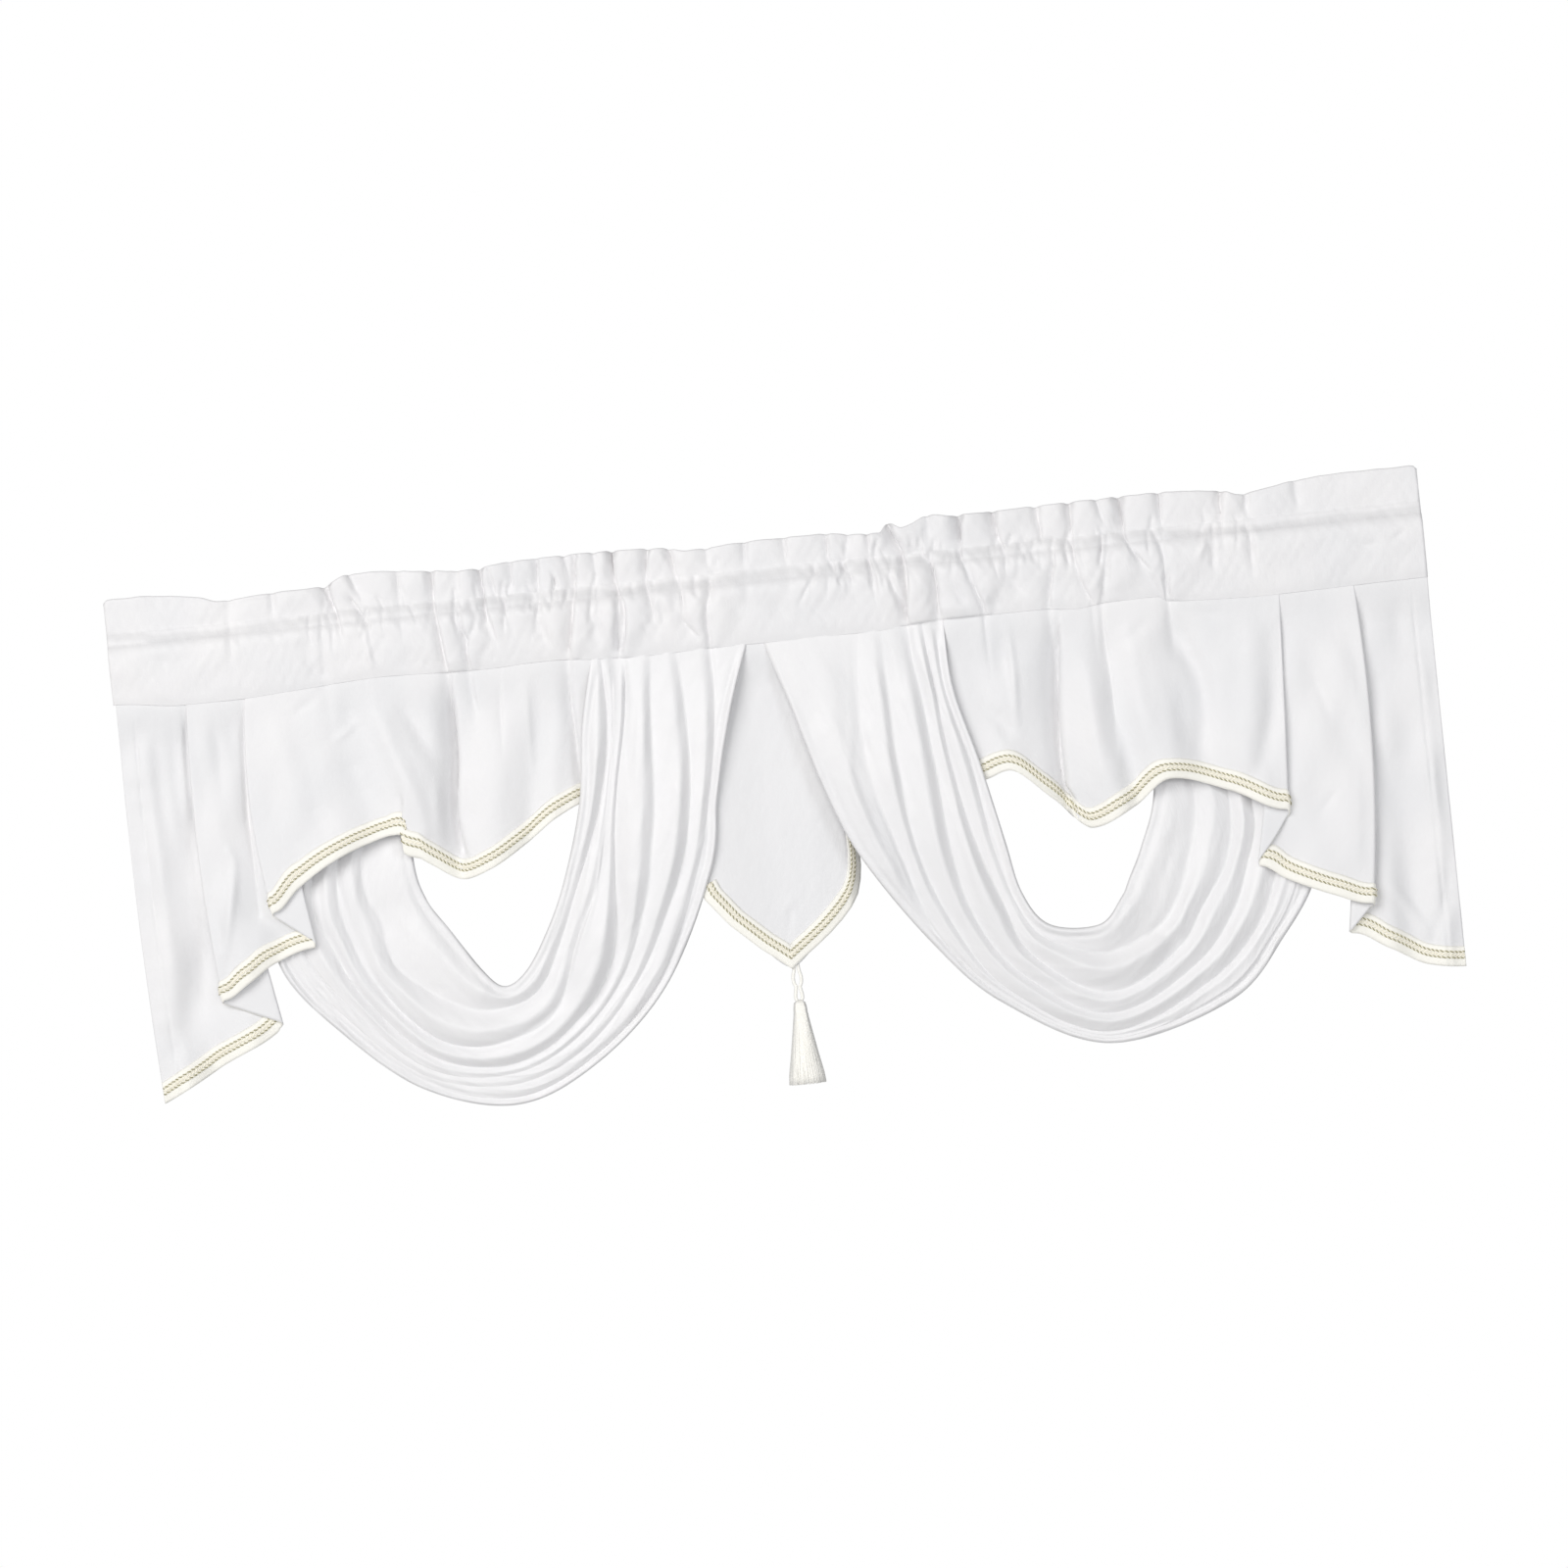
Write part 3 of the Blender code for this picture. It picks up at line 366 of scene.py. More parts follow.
def noise_on(tree, vector, stretch, detail):
    """Noise whose grains are stretch millimetres wide and long."""
    scale = add_node(tree, "ShaderNodeMapping")
    scale.inputs["Scale"].default_value = (1 / stretch[0], 1 / stretch[1], 1.0)
    noise = add_node(tree, "ShaderNodeTexNoise")
    noise.inputs["Scale"].default_value = 1.0
    noise.inputs["Detail"].default_value = detail
    tree.links.new(vector, scale.inputs["Vector"])
    tree.links.new(scale.outputs["Vector"], noise.inputs["Vector"])
    return noise.outputs["Fac"]


def maths(tree, operation, first, second):
    """A Math node; first is a link, second a number or a link."""
    node = add_node(tree, "ShaderNodeMath", operation=operation)
    tree.links.new(first, node.inputs[0])
    if isinstance(second, (int, float)):
        node.inputs[1].default_value = second
    else:
        tree.links.new(second, node.inputs[1])
    return node.outputs["Value"]


def new_material(name, colour, roughness, sheen):
    """A material, its node tree and its shader."""
    material = bpy.data.materials.new(name)
    material.use_nodes = True
    shader = material.node_tree.nodes["Principled BSDF"]
    shader.inputs["Base Color"].default_value = (*colour, 1.0)
    shader.inputs["Roughness"].default_value = roughness
    shader.inputs["Sheen Weight"].default_value = sheen
    return material, material.node_tree, shader


def blended(tree, value, low, high, low_colour, high_colour):
    """A colour that goes from low_colour to high_colour as value goes from low to high."""
    tone = add_node(tree, "ShaderNodeValToRGB")
    ends = tone.color_ramp.elements
    ends[0].position = low
    ends[0].color = (*low_colour, 1.0)
    ends[1].position = high
    ends[1].color = (*high_colour, 1.0)
    tree.links.new(value, tone.inputs["Fac"])
    return tone.outputs["Color"]


def raise_surface(tree, shader, height, distance, strength=1.0):
    """Relief of the surface, where a height of 1 stands distance millimetres out."""
    bump = add_node(tree, "ShaderNodeBump")
    bump.inputs["Strength"].default_value = strength
    bump.inputs["Distance"].default_value = distance * MM
    tree.links.new(height, bump.inputs["Height"])
    tree.links.new(bump.outputs["Normal"], shader.inputs["Normal"])


# Satin: how wide and long its patches of tone, its floats, its slubs and its crumples are, in
# millimetres, and the wander of the edges of the strip of painted shade
TONE_PATCH = (130.0, 170.0)
FLOAT = (0.45, 5.0)
SLUB = (1.6, 26.0)
CRUMPLE = (17.0, 24.0)
STRIP_PATCH = (40.0, 900.0)
# How high the crumples stand, in millimetres, and the floats and slubs as shares of that; how much
# rougher a slub is; and the cloth's sheen
CRUMPLE_HEIGHT = 1.0
FLOAT_HEIGHT = 0.03
SLUB_HEIGHT = 0.03
SLUB_ROUGHNESS = 0.16
SATIN_SHEEN = 0.18
# The noise between these two values spans the whole way from one tone to the other
TONE_SPAN = (0.34, 0.66)


def satin(name, bright, dull, roughness, grain_turn=0.0, shaded_strip=None):
    """White satin: floats that run along the cloth, small slubs, soft crumples and a low sheen. The
    cloth's tone drifts between bright and dull, and grain_turn is the angle of a bias cut. A strip
    between two given lengths of the cloth, where one is given, is darkened by painted shade."""
    material, tree, shader = new_material(name, bright, roughness, SATIN_SHEEN)
    place = add_node(tree, "ShaderNodeAttribute", attribute_name="cloth_mm").outputs["Vector"]
    grain = add_node(tree, "ShaderNodeMapping")
    grain.inputs["Rotation"].default_value = (0.0, 0.0, grain_turn)
    tree.links.new(place, grain.inputs["Vector"])
    along = grain.outputs["Vector"]
    colour = blended(tree, noise_on(tree, place, TONE_PATCH, 2.0), *TONE_SPAN, dull, bright)
    # Painted shade: over the strip the colour is multiplied down, for the shade under the ruffle
    if shaded_strip:
        length = add_node(tree, "ShaderNodeSeparateXYZ")
        tree.links.new(place, length.inputs["Vector"])
        shade_ramp = add_node(tree, "ShaderNodeValToRGB")
        for end in shade_ramp.color_ramp.elements:
            end.color = (1.0, 1.0, 1.0, 1.0)
        for share in STRIP_SHARES:
            stop = shade_ramp.color_ramp.elements.new(share)
            stop.color = (STRIP_PAINTED_SHADE, STRIP_PAINTED_SHADE, STRIP_PAINTED_SHADE, 1.0)
        span = add_node(tree, "ShaderNodeMapRange")
        span.inputs["From Min"].default_value = shaded_strip[0]
        span.inputs["From Max"].default_value = shaded_strip[1]
        wander = maths(tree, "SUBTRACT", noise_on(tree, place, STRIP_PATCH, 3.0), 0.5)
        uneven = maths(tree, "MULTIPLY", wander, STRIP_UNEVEN)
        tree.links.new(maths(tree, "ADD", length.outputs["Y"], uneven), span.inputs["Value"])
        tree.links.new(span.outputs["Result"], shade_ramp.inputs["Fac"])
        painted_shade_mix = add_node(tree, "ShaderNodeMix", data_type="RGBA", blend_type="MULTIPLY")
        painted_shade_mix.inputs["Factor"].default_value = 1.0
        tree.links.new(colour, painted_shade_mix.inputs["A"])
        tree.links.new(shade_ramp.outputs["Color"], painted_shade_mix.inputs["B"])
        colour = painted_shade_mix.outputs["Result"]
    tree.links.new(colour, shader.inputs["Base Color"])
    slubs = noise_on(tree, along, SLUB, 2.0)
    rough = maths(tree, "MULTIPLY", slubs, SLUB_ROUGHNESS)
    rough = maths(tree, "ADD", rough, roughness - SLUB_ROUGHNESS / 2)
    tree.links.new(rough, shader.inputs["Roughness"])
    height = noise_on(tree, place, CRUMPLE, 5.0)
    height = maths(tree, "ADD", maths(tree, "MULTIPLY", slubs, SLUB_HEIGHT), height)
    floats = maths(tree, "MULTIPLY", noise_on(tree, along, FLOAT, 1.0), FLOAT_HEIGHT)
    raise_surface(tree, shader, maths(tree, "ADD", floats, height), CRUMPLE_HEIGHT)
    shader.inputs["Sheen Roughness"].default_value = 0.4
    shader.inputs["Specular IOR Level"].default_value = 0.45
    return material


def seam_z(x):
    return through(SEAM_LINE, x)


def gather_swell():
    """The columns of the band: their fold number, and the swell between two folds from 0 to 1."""
    number = []
    swell = []
    leans = np.random.default_rng(LEAN_SEED).choice(LEANS, len(GATHERS))
    for k, (fold, following) in enumerate(zip(GATHERS, GATHERS[1:])):
        middle = (fold.stitch + following.stitch) / 2
        fine = any(first < middle < last for first, last in GATHERED_ZONES)
        step = FINE_STEP if fine else PLAIN_STEP
        steps = max(FEWEST_COLUMNS, round((following.stitch - fold.stitch) / step))
        u = np.arange(steps) / steps
        number.append(k + u)
        peak = 0.5 + SWELL_LEAN * leans[k]
        even = np.where(u < peak, 0.5 * u / peak, 1 - 0.5 * (1 - u) / (1 - peak))
        swell.append(1 - np.abs(2 * even - 1) ** SWELL_POWER)
    number.append([len(GATHERS) - 1])
    swell.append([0.0])
    return np.concatenate(number), np.concatenate(swell)


def gathered(number, column):
    """A column of the table of folds, read at a fold number between two folds."""
    return np.interp(number, np.arange(len(GATHERS)), [getattr(fold, column) for fold in GATHERS])


# Creases of the band: the long folds that run from the ruffle through the pocket, and others that
# stay in one of them
BAND_CREASES = [Crease(*row) for row in (
    (((-152, 48), (-151, 20), (-148, 2), (-144, -12), (-147, -42), (-155, -62)), 8.5, 7.5, 1.0, 1.0, 2.2),
    (((-143, -14), (-152, -34), (-157, -58)), 4.0, 6.5, 0.2, 1.0),
    (((-190, 44), (-191, 26), (-193, 8), (-198, -20), (-205, -50), (-209, -62)), 7.5, 7.5, 1.0, 1.0, 2.0),
    (((-116, 42), (-120, 14), (-115, -26)), 4.5, 4.6, 1.0, 0.2, 2.0),
    (((-92, -23), (-82, -38), (-72, -51)), 3.2, 5.0, 0.2, 0.3, 2.0),
    (((-93, 38), (-87, 4)), 4.0, 4.0, 0.8, 0.4, 1.8),
    (((-55, 6), (-55, -2), (-62, -24), (-62, -62)), 4.5, 4.2, 0.9, 1.0, 2.2),
    (((-110, -3), (-104, -34)), 2.5, 4.0, 0.3, 0.1),
    (((68, 32), (68, 20), (72, 4)), 3.0, 3.6, 0.6, 0.6, 1.8),
    (((52, 3), (42, -12), (30, -31)), 2.8, 2.0, 0.6, 0.1, 4.5),
    (((82, 6), (88, -4), (90, -14)), 3.2, 4.0, 0.8, 0.2, 1.8),
    (((109, 10), (113, -8), (113, -24)), 3.4, 4.0, 0.8, 0.2, 1.8),
    (((131, 46), (137, 30), (144, 12), (146, -12), (142, -42), (141, -62)), 9.0, 8.0, 0.8, 1.0, 2.2),
    (((123, -3), (128, -14), (138, -42)), 4.0, 3.6, 0.4, 1.0),
    (((164, 8), (170, 2), (175, -14), (175, -40), (174, -62)), 8.0, 7.0, 0.7, 1.0, 2.2),
    (((206, 48), (205, 26), (203, 8)), 8.5, 8.0, 1.0, 0.4, 1.8),
    (((202, 6), (211, -24), (218, -46), (222, -66)), 4.0, 2.2, 0.8, 0.6, 1.6),
    (((187, -18), (196, -34), (206, -48)), 2.4, 5.0, 0.2, 0.2),
    (((240, 46), (242, 26), (246, 8)), 7.0, 8.0, 1.0, 0.5, 1.8),
    (((285, 46), (285, 16)), 4.0, 4.0, 1.0, 0.3, 1.6),
    (((319, 48), (318, 26), (317, 4)), 5.0, 5.0, 1.0, 0.5, 1.8),
    (((297, 1), (294, -20), (288, -46), (286, -62)), 5.5, 6.0, 0.5, 1.0, 2.2),
    (((319, -18), (322, -34), (331, -58)), 3.4, 4.0, 0.4, 0.4, 1.8),
    (((347, 7), (344, -6), (340, -21)), 3.4, 3.6, 0.8, 0.2, 1.6),
    (((353, 1), (350, -20), (347, -36), (337, -62)), 3.8, 3.6, 0.7, 0.5, 1.8),
    (((370, 48), (371, 26), (371, 7)), 8.5, 9.0, 1.0, 0.5, 1.8),
    (((370, 7), (380, -12), (394, -30)), 3.6, 2.0, 1.0, 0.2, 1.4),
    (((411, -33), (409, -48), (408, -62)), 4.5, 5.0, 0.2, 1.0, 3.5),
    (((451, 1), (448, -10), (442, -21)), -2.5, 3.0, 0.5, 0.3),
    (((457, -8), (457, -36)), 2.5, 3.4, 0.5, 0.2),
    (((471, 46), (471, 26), (470, 8)), 4.5, 4.5, 1.0, 0.6, 1.6),
    (((497, 3), (499, -18), (497, -43)), 4.2, 4.6, 0.8, 0.2, 1.4),
    (((640, -24), (648, -20), (654, -14)), 2.0, 3.0, 0.4, 0.2),
    (((600, -20), (612, -26), (626, -24)), 1.4, 4.0, 0.2, 0.2),
    (((-336, 42), (-337, 10), (-335, -10), (-330, -62)), 6.5, 6.0, 0.7, 1.0, 2.0),
    (((-316, -8), (-312, -20), (-306, -31)), 4.0, 4.0, 0.5, 0.8, 2.0),
    (((-297, -8), (-300, -20), (-306, -31)), 3.4, 2.0, 0.5, 0.8, 4.0),
    (((-307, -25), (-308, -44), (-308, -62)), 6.0, 6.0, 0.6, 1.0, 2.0),
    (((-286, 42), (-285, 8), (-278, -34)), 7.0, 6.5, 1.0, 0.2, 1.8),
    (((-278, 40), (-275, 20), (-272, 8)), 3.4, 3.6, 0.8, 0.5, 1.6),
    (((-264, 8), (-267, -8), (-269, -25)), 3.2, 3.6, 0.8, 0.2, 1.6),
    (((-443, 42), (-441, 26), (-436, 8), (-434, -14)), 8.0, 7.5, 1.0, 0.2, 2.0),
    (((-421, 24), (-414, 12), (-406, -3)), 4.5, 3.2, 0.8, 0.8, 1.6),
    (((-413, -6), (-410, -20), (-407, -51)), -2.5, 3.0, 0.7, 0.2),
    (((-450, 6), (-455, -28), (-455, -62)), 2.4, 5.0, 0.4, 0.2),
    (((-547, 20), (-547, -6), (-549, -31)), 3.2, 3.0, 0.4, 0.2, 1.6),
    (((-540, 10), (-538, -14)), 1.8, 4.0, 0.4, 0.2),
    (((-501, 40), (-503, 14)), 2.0, 3.0, 0.8, 0.4),
    (((-471, -4), (-468, -40), (-452, -56)), 2.2, 7.0, 0.2, 0.2),
    (((-620, -12), (-617, -26)), 1.2, 3.0, 0.2, 0.2),
    (((-229, 40), (-230, 14), (-231, -4)), 3.4, 4.0, 0.8, 0.5, 1.8),
    (((-256, 40), (-257, 14)), 2.6, 4.0, 0.9, 0.5, 1.8),
    (((-371, 42), (-373, 14)), 2.4, 4.0, 0.9, 0.4, 1.8),
    (((-16, 40), (-18, 14)), 2.2, 5.0, 0.9, 0.4, 2.0),
    (((24, 40), (25, 14)), 2.2, 5.0, 0.9, 0.4, 2.0),
    (((409, 46), (409, 14)), 2.6, 4.0, 0.9, 0.4, 1.8),
    (((549, 44), (549, 18)), 2.0, 4.0, 0.8, 0.3),
    (((500, 42), (497, 16)), 2.2, 3.0, 0.8, 0.4, 1.6),
    (((-40, -10), (-28, -34)), 1.6, 8.0, 0.2, 0.2),
    (((4, -20), (20, -44)), 1.8, 8.0, 0.2, 0.2),
    (((-238, -14), (-226, -46)), 2.4, 6.0, 0.2, 0.2),
    (((-180, -10), (-176, -46)), 2.2, 5.0, 0.2, 0.2),
    (((246, -16), (262, -44)), 2.6, 7.0, 0.2, 0.2),
)]

# Short puckers at the stitching, where the thread draws the cloth together: from x, to x, how many
PUCKER_ZONES = (
    (-345, -130, 25), (-120, -40, 8), (45, 260, 27), (262, 420, 15), (440, 505, 4), (-480, -350, 8),
)
PUCKER_SEED = 11
# The puckers below the stitching and the fewer ones above it: the z at which they start, how far they
# slant and bend to either side, and from what to what their length, depth and half width go
LOW_START = 11
LOW_SLANT = 9
LOW_BEND = 3
LOW_LENGTH = (5, 30)
LOW_DEPTH = (1.0, 3.2)
LOW_WIDTH = (1.5, 3.0)
HIGH_START = 13
HIGH_SLANT = 6
HIGH_LENGTH = (6, 22)
HIGH_DEPTH = (0.8, 2.2)
HIGH_WIDTH = 2.0
# The middle of a lower pucker: its z where the pucker has no length, and its share of the slant
LOW_MIDDLE = 5
MIDDLE_SLANT = 0.4


def stitch_puckers():
    """Short creases that leave the stitching, longer ones downward and shorter ones upward."""
    rng = np.random.default_rng(PUCKER_SEED)
    puckers = []
    for first, last, count in PUCKER_ZONES:
        for x in rng.uniform(first, last, count):
            slant = rng.uniform(-LOW_SLANT, LOW_SLANT)
            bend = rng.uniform(-LOW_BEND, LOW_BEND)
            length = rng.uniform(*LOW_LENGTH)
            depth = rng.uniform(*LOW_DEPTH)
            width = rng.uniform(*LOW_WIDTH)
            middle = (x + MIDDLE_SLANT * slant + bend, LOW_MIDDLE - 0.5 * length)
            path = ((x, LOW_START), middle, (x + slant, -length))
            puckers.append(Crease(path, depth, width, start=0.7, end=0.0))
        for x in rng.uniform(first, last, count // 2):
            slant = rng.uniform(-HIGH_SLANT, HIGH_SLANT)
            rise = rng.uniform(*HIGH_LENGTH)
            path = ((x, HIGH_START), (x + slant, HIGH_START + rise))
            depth = rng.uniform(*HIGH_DEPTH)
            puckers.append(Crease(path, depth, HIGH_WIDTH, start=1.0, end=0.0))
    return puckers


# How far the creases sink the seam along its length, read at this many places a little above it
SINK_PLACES = 900
SINK_RISE = 3
SINK_X = np.linspace(-BAND_HALF, BAND_HALF, SINK_PLACES)
SINK_Z = seam_z(SINK_X) + SINK_RISE
SINK = DEEPEST_SINK * np.tanh(creased(SINK_X, SINK_Z, BAND_CREASES)[0] / DEEPEST_SINK)


def seam_sink(x):
    return np.interp(x, SINK_X, SINK)


def band_folds(x, z):
    """How far the band's folds and puckers push it back, and how far they draw it to the left."""
    pushed, drawn = creased(x, z, BAND_CREASES + stitch_puckers())
    return pushed * mix(1.0, RUFFLE_DEEPER, ease((z - STITCH_Z) / DEEPER_OVER)), drawn


def heading_points():
    """The band's section, swept along its length: across is the length, down is the way round from
    the foot of the face, up over the ruffle and down the back."""
    number, swell = gather_swell()
    stitch = gathered(number, "stitch")
    top_x = gathered(number, "top")
    seam_x = gathered(number, "seam")
    depth = gathered(number, "depth")
    pucker = gathered(number, "pucker")
    foot = gathered(number, "foot")
    away = np.abs(top_x[:, None] - np.array([fold.top for fold in GATHERS])[None, :])
    nearest = gathered(away.argmin(axis=1), "depth")
    notch = NOTCH_SHARE * nearest * np.exp(-(away.min(axis=1) / NOTCH_WIDTH) ** 2)
    edge = EDGE_WAVER
    waver = slack(top_x, 0 * top_x + edge.place, edge.along, edge.down, edge.seed)
    top = through(RUFFLE_LINE, top_x) - notch + edge.height * waver
    sink = seam_z(stitch) - SEAM_Z
    wave = RUFFLE_FULL * depth * (0.5 - swell)
    sides = []

    def side(x, y, z):
        low = np.clip((SEAM_FOLLOW_Z - z) / SEAM_FOLLOW_DROP, 0, 1)
        sides.append(np.stack([x, y, z + sink * low], axis=1))

    flat = np.zeros_like(stitch)
    for y, z in POCKET_TURN:
        side(seam_x, flat + y, flat + z)
    for z in FACE_HEIGHTS:
        down = (STITCH_Z - z) / (STITCH_Z - SEAM_Z)
        held = ease((STITCH_Z - z) / SWELL_GROWTH) * np.clip((z - foot) / SWELL_FADE, 0, 1)
        y = through(POCKET_FACE, z) - pucker * swell * held
        side(mix(stitch, seam_x, down), y, flat + z)
    for n in range(RUFFLE_STEPS):
        rise = n / RUFFLE_STEPS
        y = wave * ease(RUFFLE_GROWTH * rise) - RUFFLE_HALF_GAP * min(1.0, FRONT_GAP_LEFT + rise)
        z = mix(STITCH_Z + RUFFLE_RISE, top - RUFFLE_HALF_GAP, rise)
        side(mix(stitch, top_x, rise), y, z)
    for n in range(RUFFLE_TURN_STEPS + 1):
        angle = math.pi * n / RUFFLE_TURN_STEPS
        y = wave - RUFFLE_HALF_GAP * math.cos(angle)
        side(top_x, y, top - RUFFLE_HALF_GAP * (1 - math.sin(angle)))
    for n in range(RUFFLE_BACK_STEPS):
        rise = 1 - (n + 1) / (RUFFLE_BACK_STEPS + 1)
        y = wave * ease(RUFFLE_GROWTH * rise) + RUFFLE_HALF_GAP * min(1.0, BACK_GAP_LEFT + rise)
        side(mix(stitch, top_x, rise), y, mix(STITCH_Z, top, rise))
    t = np.linspace(0, len(POCKET_BACK) - 1, BACK_STEPS)
    for y, z in zip(between([y for y, _ in POCKET_BACK], t), between([z for _, z in POCKET_BACK], t)):
        side(stitch, flat + y, flat + z)
    points = np.stack(sides, axis=1)
    turned = len(POCKET_TURN)
    points[:, :turned, 1] += seam_sink(points[:, :turned, 0])
    front = slice(turned, turned + len(FACE_HEIGHTS) + RUFFLE_STEPS)
    x = points[:, front, 0]
    z = points[:, front, 2]
    free = ease((z - seam_z(x)) / FOOT_BLEND)
    folds, drawn = band_folds(x, z)
    swells = sum(height * slack(x, z, along, down, seed) for height, along, down, seed in BAND_SWELLS)
    points[:, front, 1] += mix(seam_sink(x), folds - swells, free)
    points[:, front, 0] -= drawn * free * ease((UNDRAWN_Z - z) / UNDRAWN_FADE)
    behind = slice(front.stop, None)
    x = points[:, behind, 0]
    z = points[:, behind, 2]
    points[:, behind, 1] += band_folds(x, z)[0] * ease((z - BACK_SMOOTH_Z) / BACK_FADE)
    return points


# The gathers crowd the weave: it lies as on a cloth this many times as long as the band
WEAVE_CROWDING = 1.45
band_points = heading_points()
band_weave = np.broadcast_to(band_points[:, :1, 0] * WEAVE_CROWDING, band_points.shape[:2])
band_length = lengths(band_points, 1)
# The strip under the stitching, between these rows, gets painted shade for the shade under the ruffle
strip_rows = (
    len(POCKET_TURN) + int(np.searchsorted(FACE_HEIGHTS, STRIP_FOOT_Z)),
    len(POCKET_TURN) + len(FACE_HEIGHTS) - 1,
)
band_cloth = satin(
    "satin_heading", (0.85, 0.842, 0.846), (0.81, 0.808, 0.818), 0.54,
    shaded_strip=[float(band_length[:, row].mean()) for row in strip_rows],
)
heading = cloth_from("heading", band_points, band_weave, band_length, SATIN_THICKNESS, band_cloth)
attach(heading, "root")
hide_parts("heading_band")


# Side panels. Each is one cloth cut on a slope and laid back and forth, so that its foot falls in a
# cascade of three tiers. It is hemmed at its side, and its top is caught in the band's seam.

# An edge or fold of a tier runs down its own line: x at the seam, half way and at the foot, and the
# z of the foot
FoldLine = namedtuple("FoldLine", "seam middle foot foot_z")
# A tier's two sides, their y at the seam and at the foot, and the foot itself as x, z
Tier = namedtuple("Tier", "start end seam_y foot_y foot")
LEFT_TIERS = [
    Tier(
        FoldLine(-671, -671, -663, -468), FoldLine(-586, -562, -534, -402),
        (2.4, 2.4), (4.0, 4.0),
        ((-664, -468), (-656, -465), (-601, -436), (-539, -407), (-534, -402)),
    ),
    Tier(
        FoldLine(-599, -603, -593, -369), FoldLine(-526, -510, -492, -325),
        (-3.0, 2.4), (-6.0, -6.0),
        ((-593, -369), (-566, -355), (-536, -337), (-492, -325)),
    ),
    Tier(
        FoldLine(-539, -545, -533, -285), FoldLine(-178, -190, -202, -205),
        (-3.0, 1.2), (-11.5, -3.5),
        ((-533, -285), (-501, -263), (-461, -240), (-426, -226), (-396, -219), (-385, -233),
         (-361, -253), (-326, -271), (-301, -264), (-261, -240), (-229, -216), (-202, -205)),
    ),
]
RIGHT_TIERS = [
    Tier(
        FoldLine(171, 174, 189, -223), FoldLine(521, 515, 508, -285),
        (1.2, -3.0), (-3.5, -12.0),
        ((189, -223), (201, -224), (229, -217), (264, -250), (296, -284), (349, -265),
         (389, -242), (449, -260), (508, -285)),
    ),
    Tier(
        FoldLine(507, 496, 471, -340), FoldLine(597, 600, 585, -389),
        (2.4, -3.0), (-4.5, -12.0),
        ((471, -340), (499, -355), (549, -377), (585, -389)),
    ),
    Tier(
        FoldLine(587, 579, 557, -418), FoldLine(673, 673, 673, -463),
        (2.4, 2.4), (1.0, 4.0),
        ((557, -418), (599, -438), (639, -458), (673, -463)),
    ),
]

# The soft folds of a tier: which tier, its place across the tier at the seam and at the foot (0 to
# 1), its depth at the seam and at the foot (a swell is negative), and its half width
SoftFold = namedtuple("SoftFold", "tier seam foot seam_depth foot_depth width")
LEFT_FOLDS = [SoftFold(*row) for row in (
    (0, 0.30, 0.18, 0.0, -4.0, 12.0),
    (0, 0.60, 0.42, 1.0, 7.0, 15.0),
    (0, 0.80, 0.75, -0.5, -4.0, 13.0),
    (1, 0.25, 0.25, -0.5, -3.0, 12.0),
    (1, 0.60, 0.62, 0.5, 4.0, 14.0),
    (2, 0.22, 0.22, -1.0, -5.0, 30.0),
    (2, 0.48, 0.50, -2.0, -7.0, 24.0),
    (2, 0.605, 0.612, 1.0, 5.0, 13.0),
    (2, 0.72, 0.73, -2.0, -7.0, 20.0),
    (2, 0.83, 0.83, 1.5, 4.0, 11.0),
    (2, 0.90, 0.90, -1.0, -3.0, 9.0),
)]
RIGHT_FOLDS = [SoftFold(*row) for row in (
    (0, 0.14, 0.15, -1.5, -5.0, 18.0),
    (0, 0.33, 0.31, 1.0, 5.0, 14.0),
    (0, 0.42, 0.43, -2.0, -6.0, 18.0),
    (0, 0.50, 0.51, 1.5, 5.0, 12.0),
    (0, 0.58, 0.61, -2.0, -8.0, 20.0),
    (0, 0.66, 0.76, 2.0, 2.5, 18.0),
    (0, 0.84, 0.92, -1.0, -4.0, 20.0),
    (1, 0.70, 0.70, -0.5, -2.0, 26.0),
    (2, 0.35, 0.35, 0.0, -4.0, 13.0),
    (2, 0.60, 0.58, 0.5, 3.0, 16.0),
    (2, 0.85, 0.85, 0.0, -3.0, 11.0),
)]

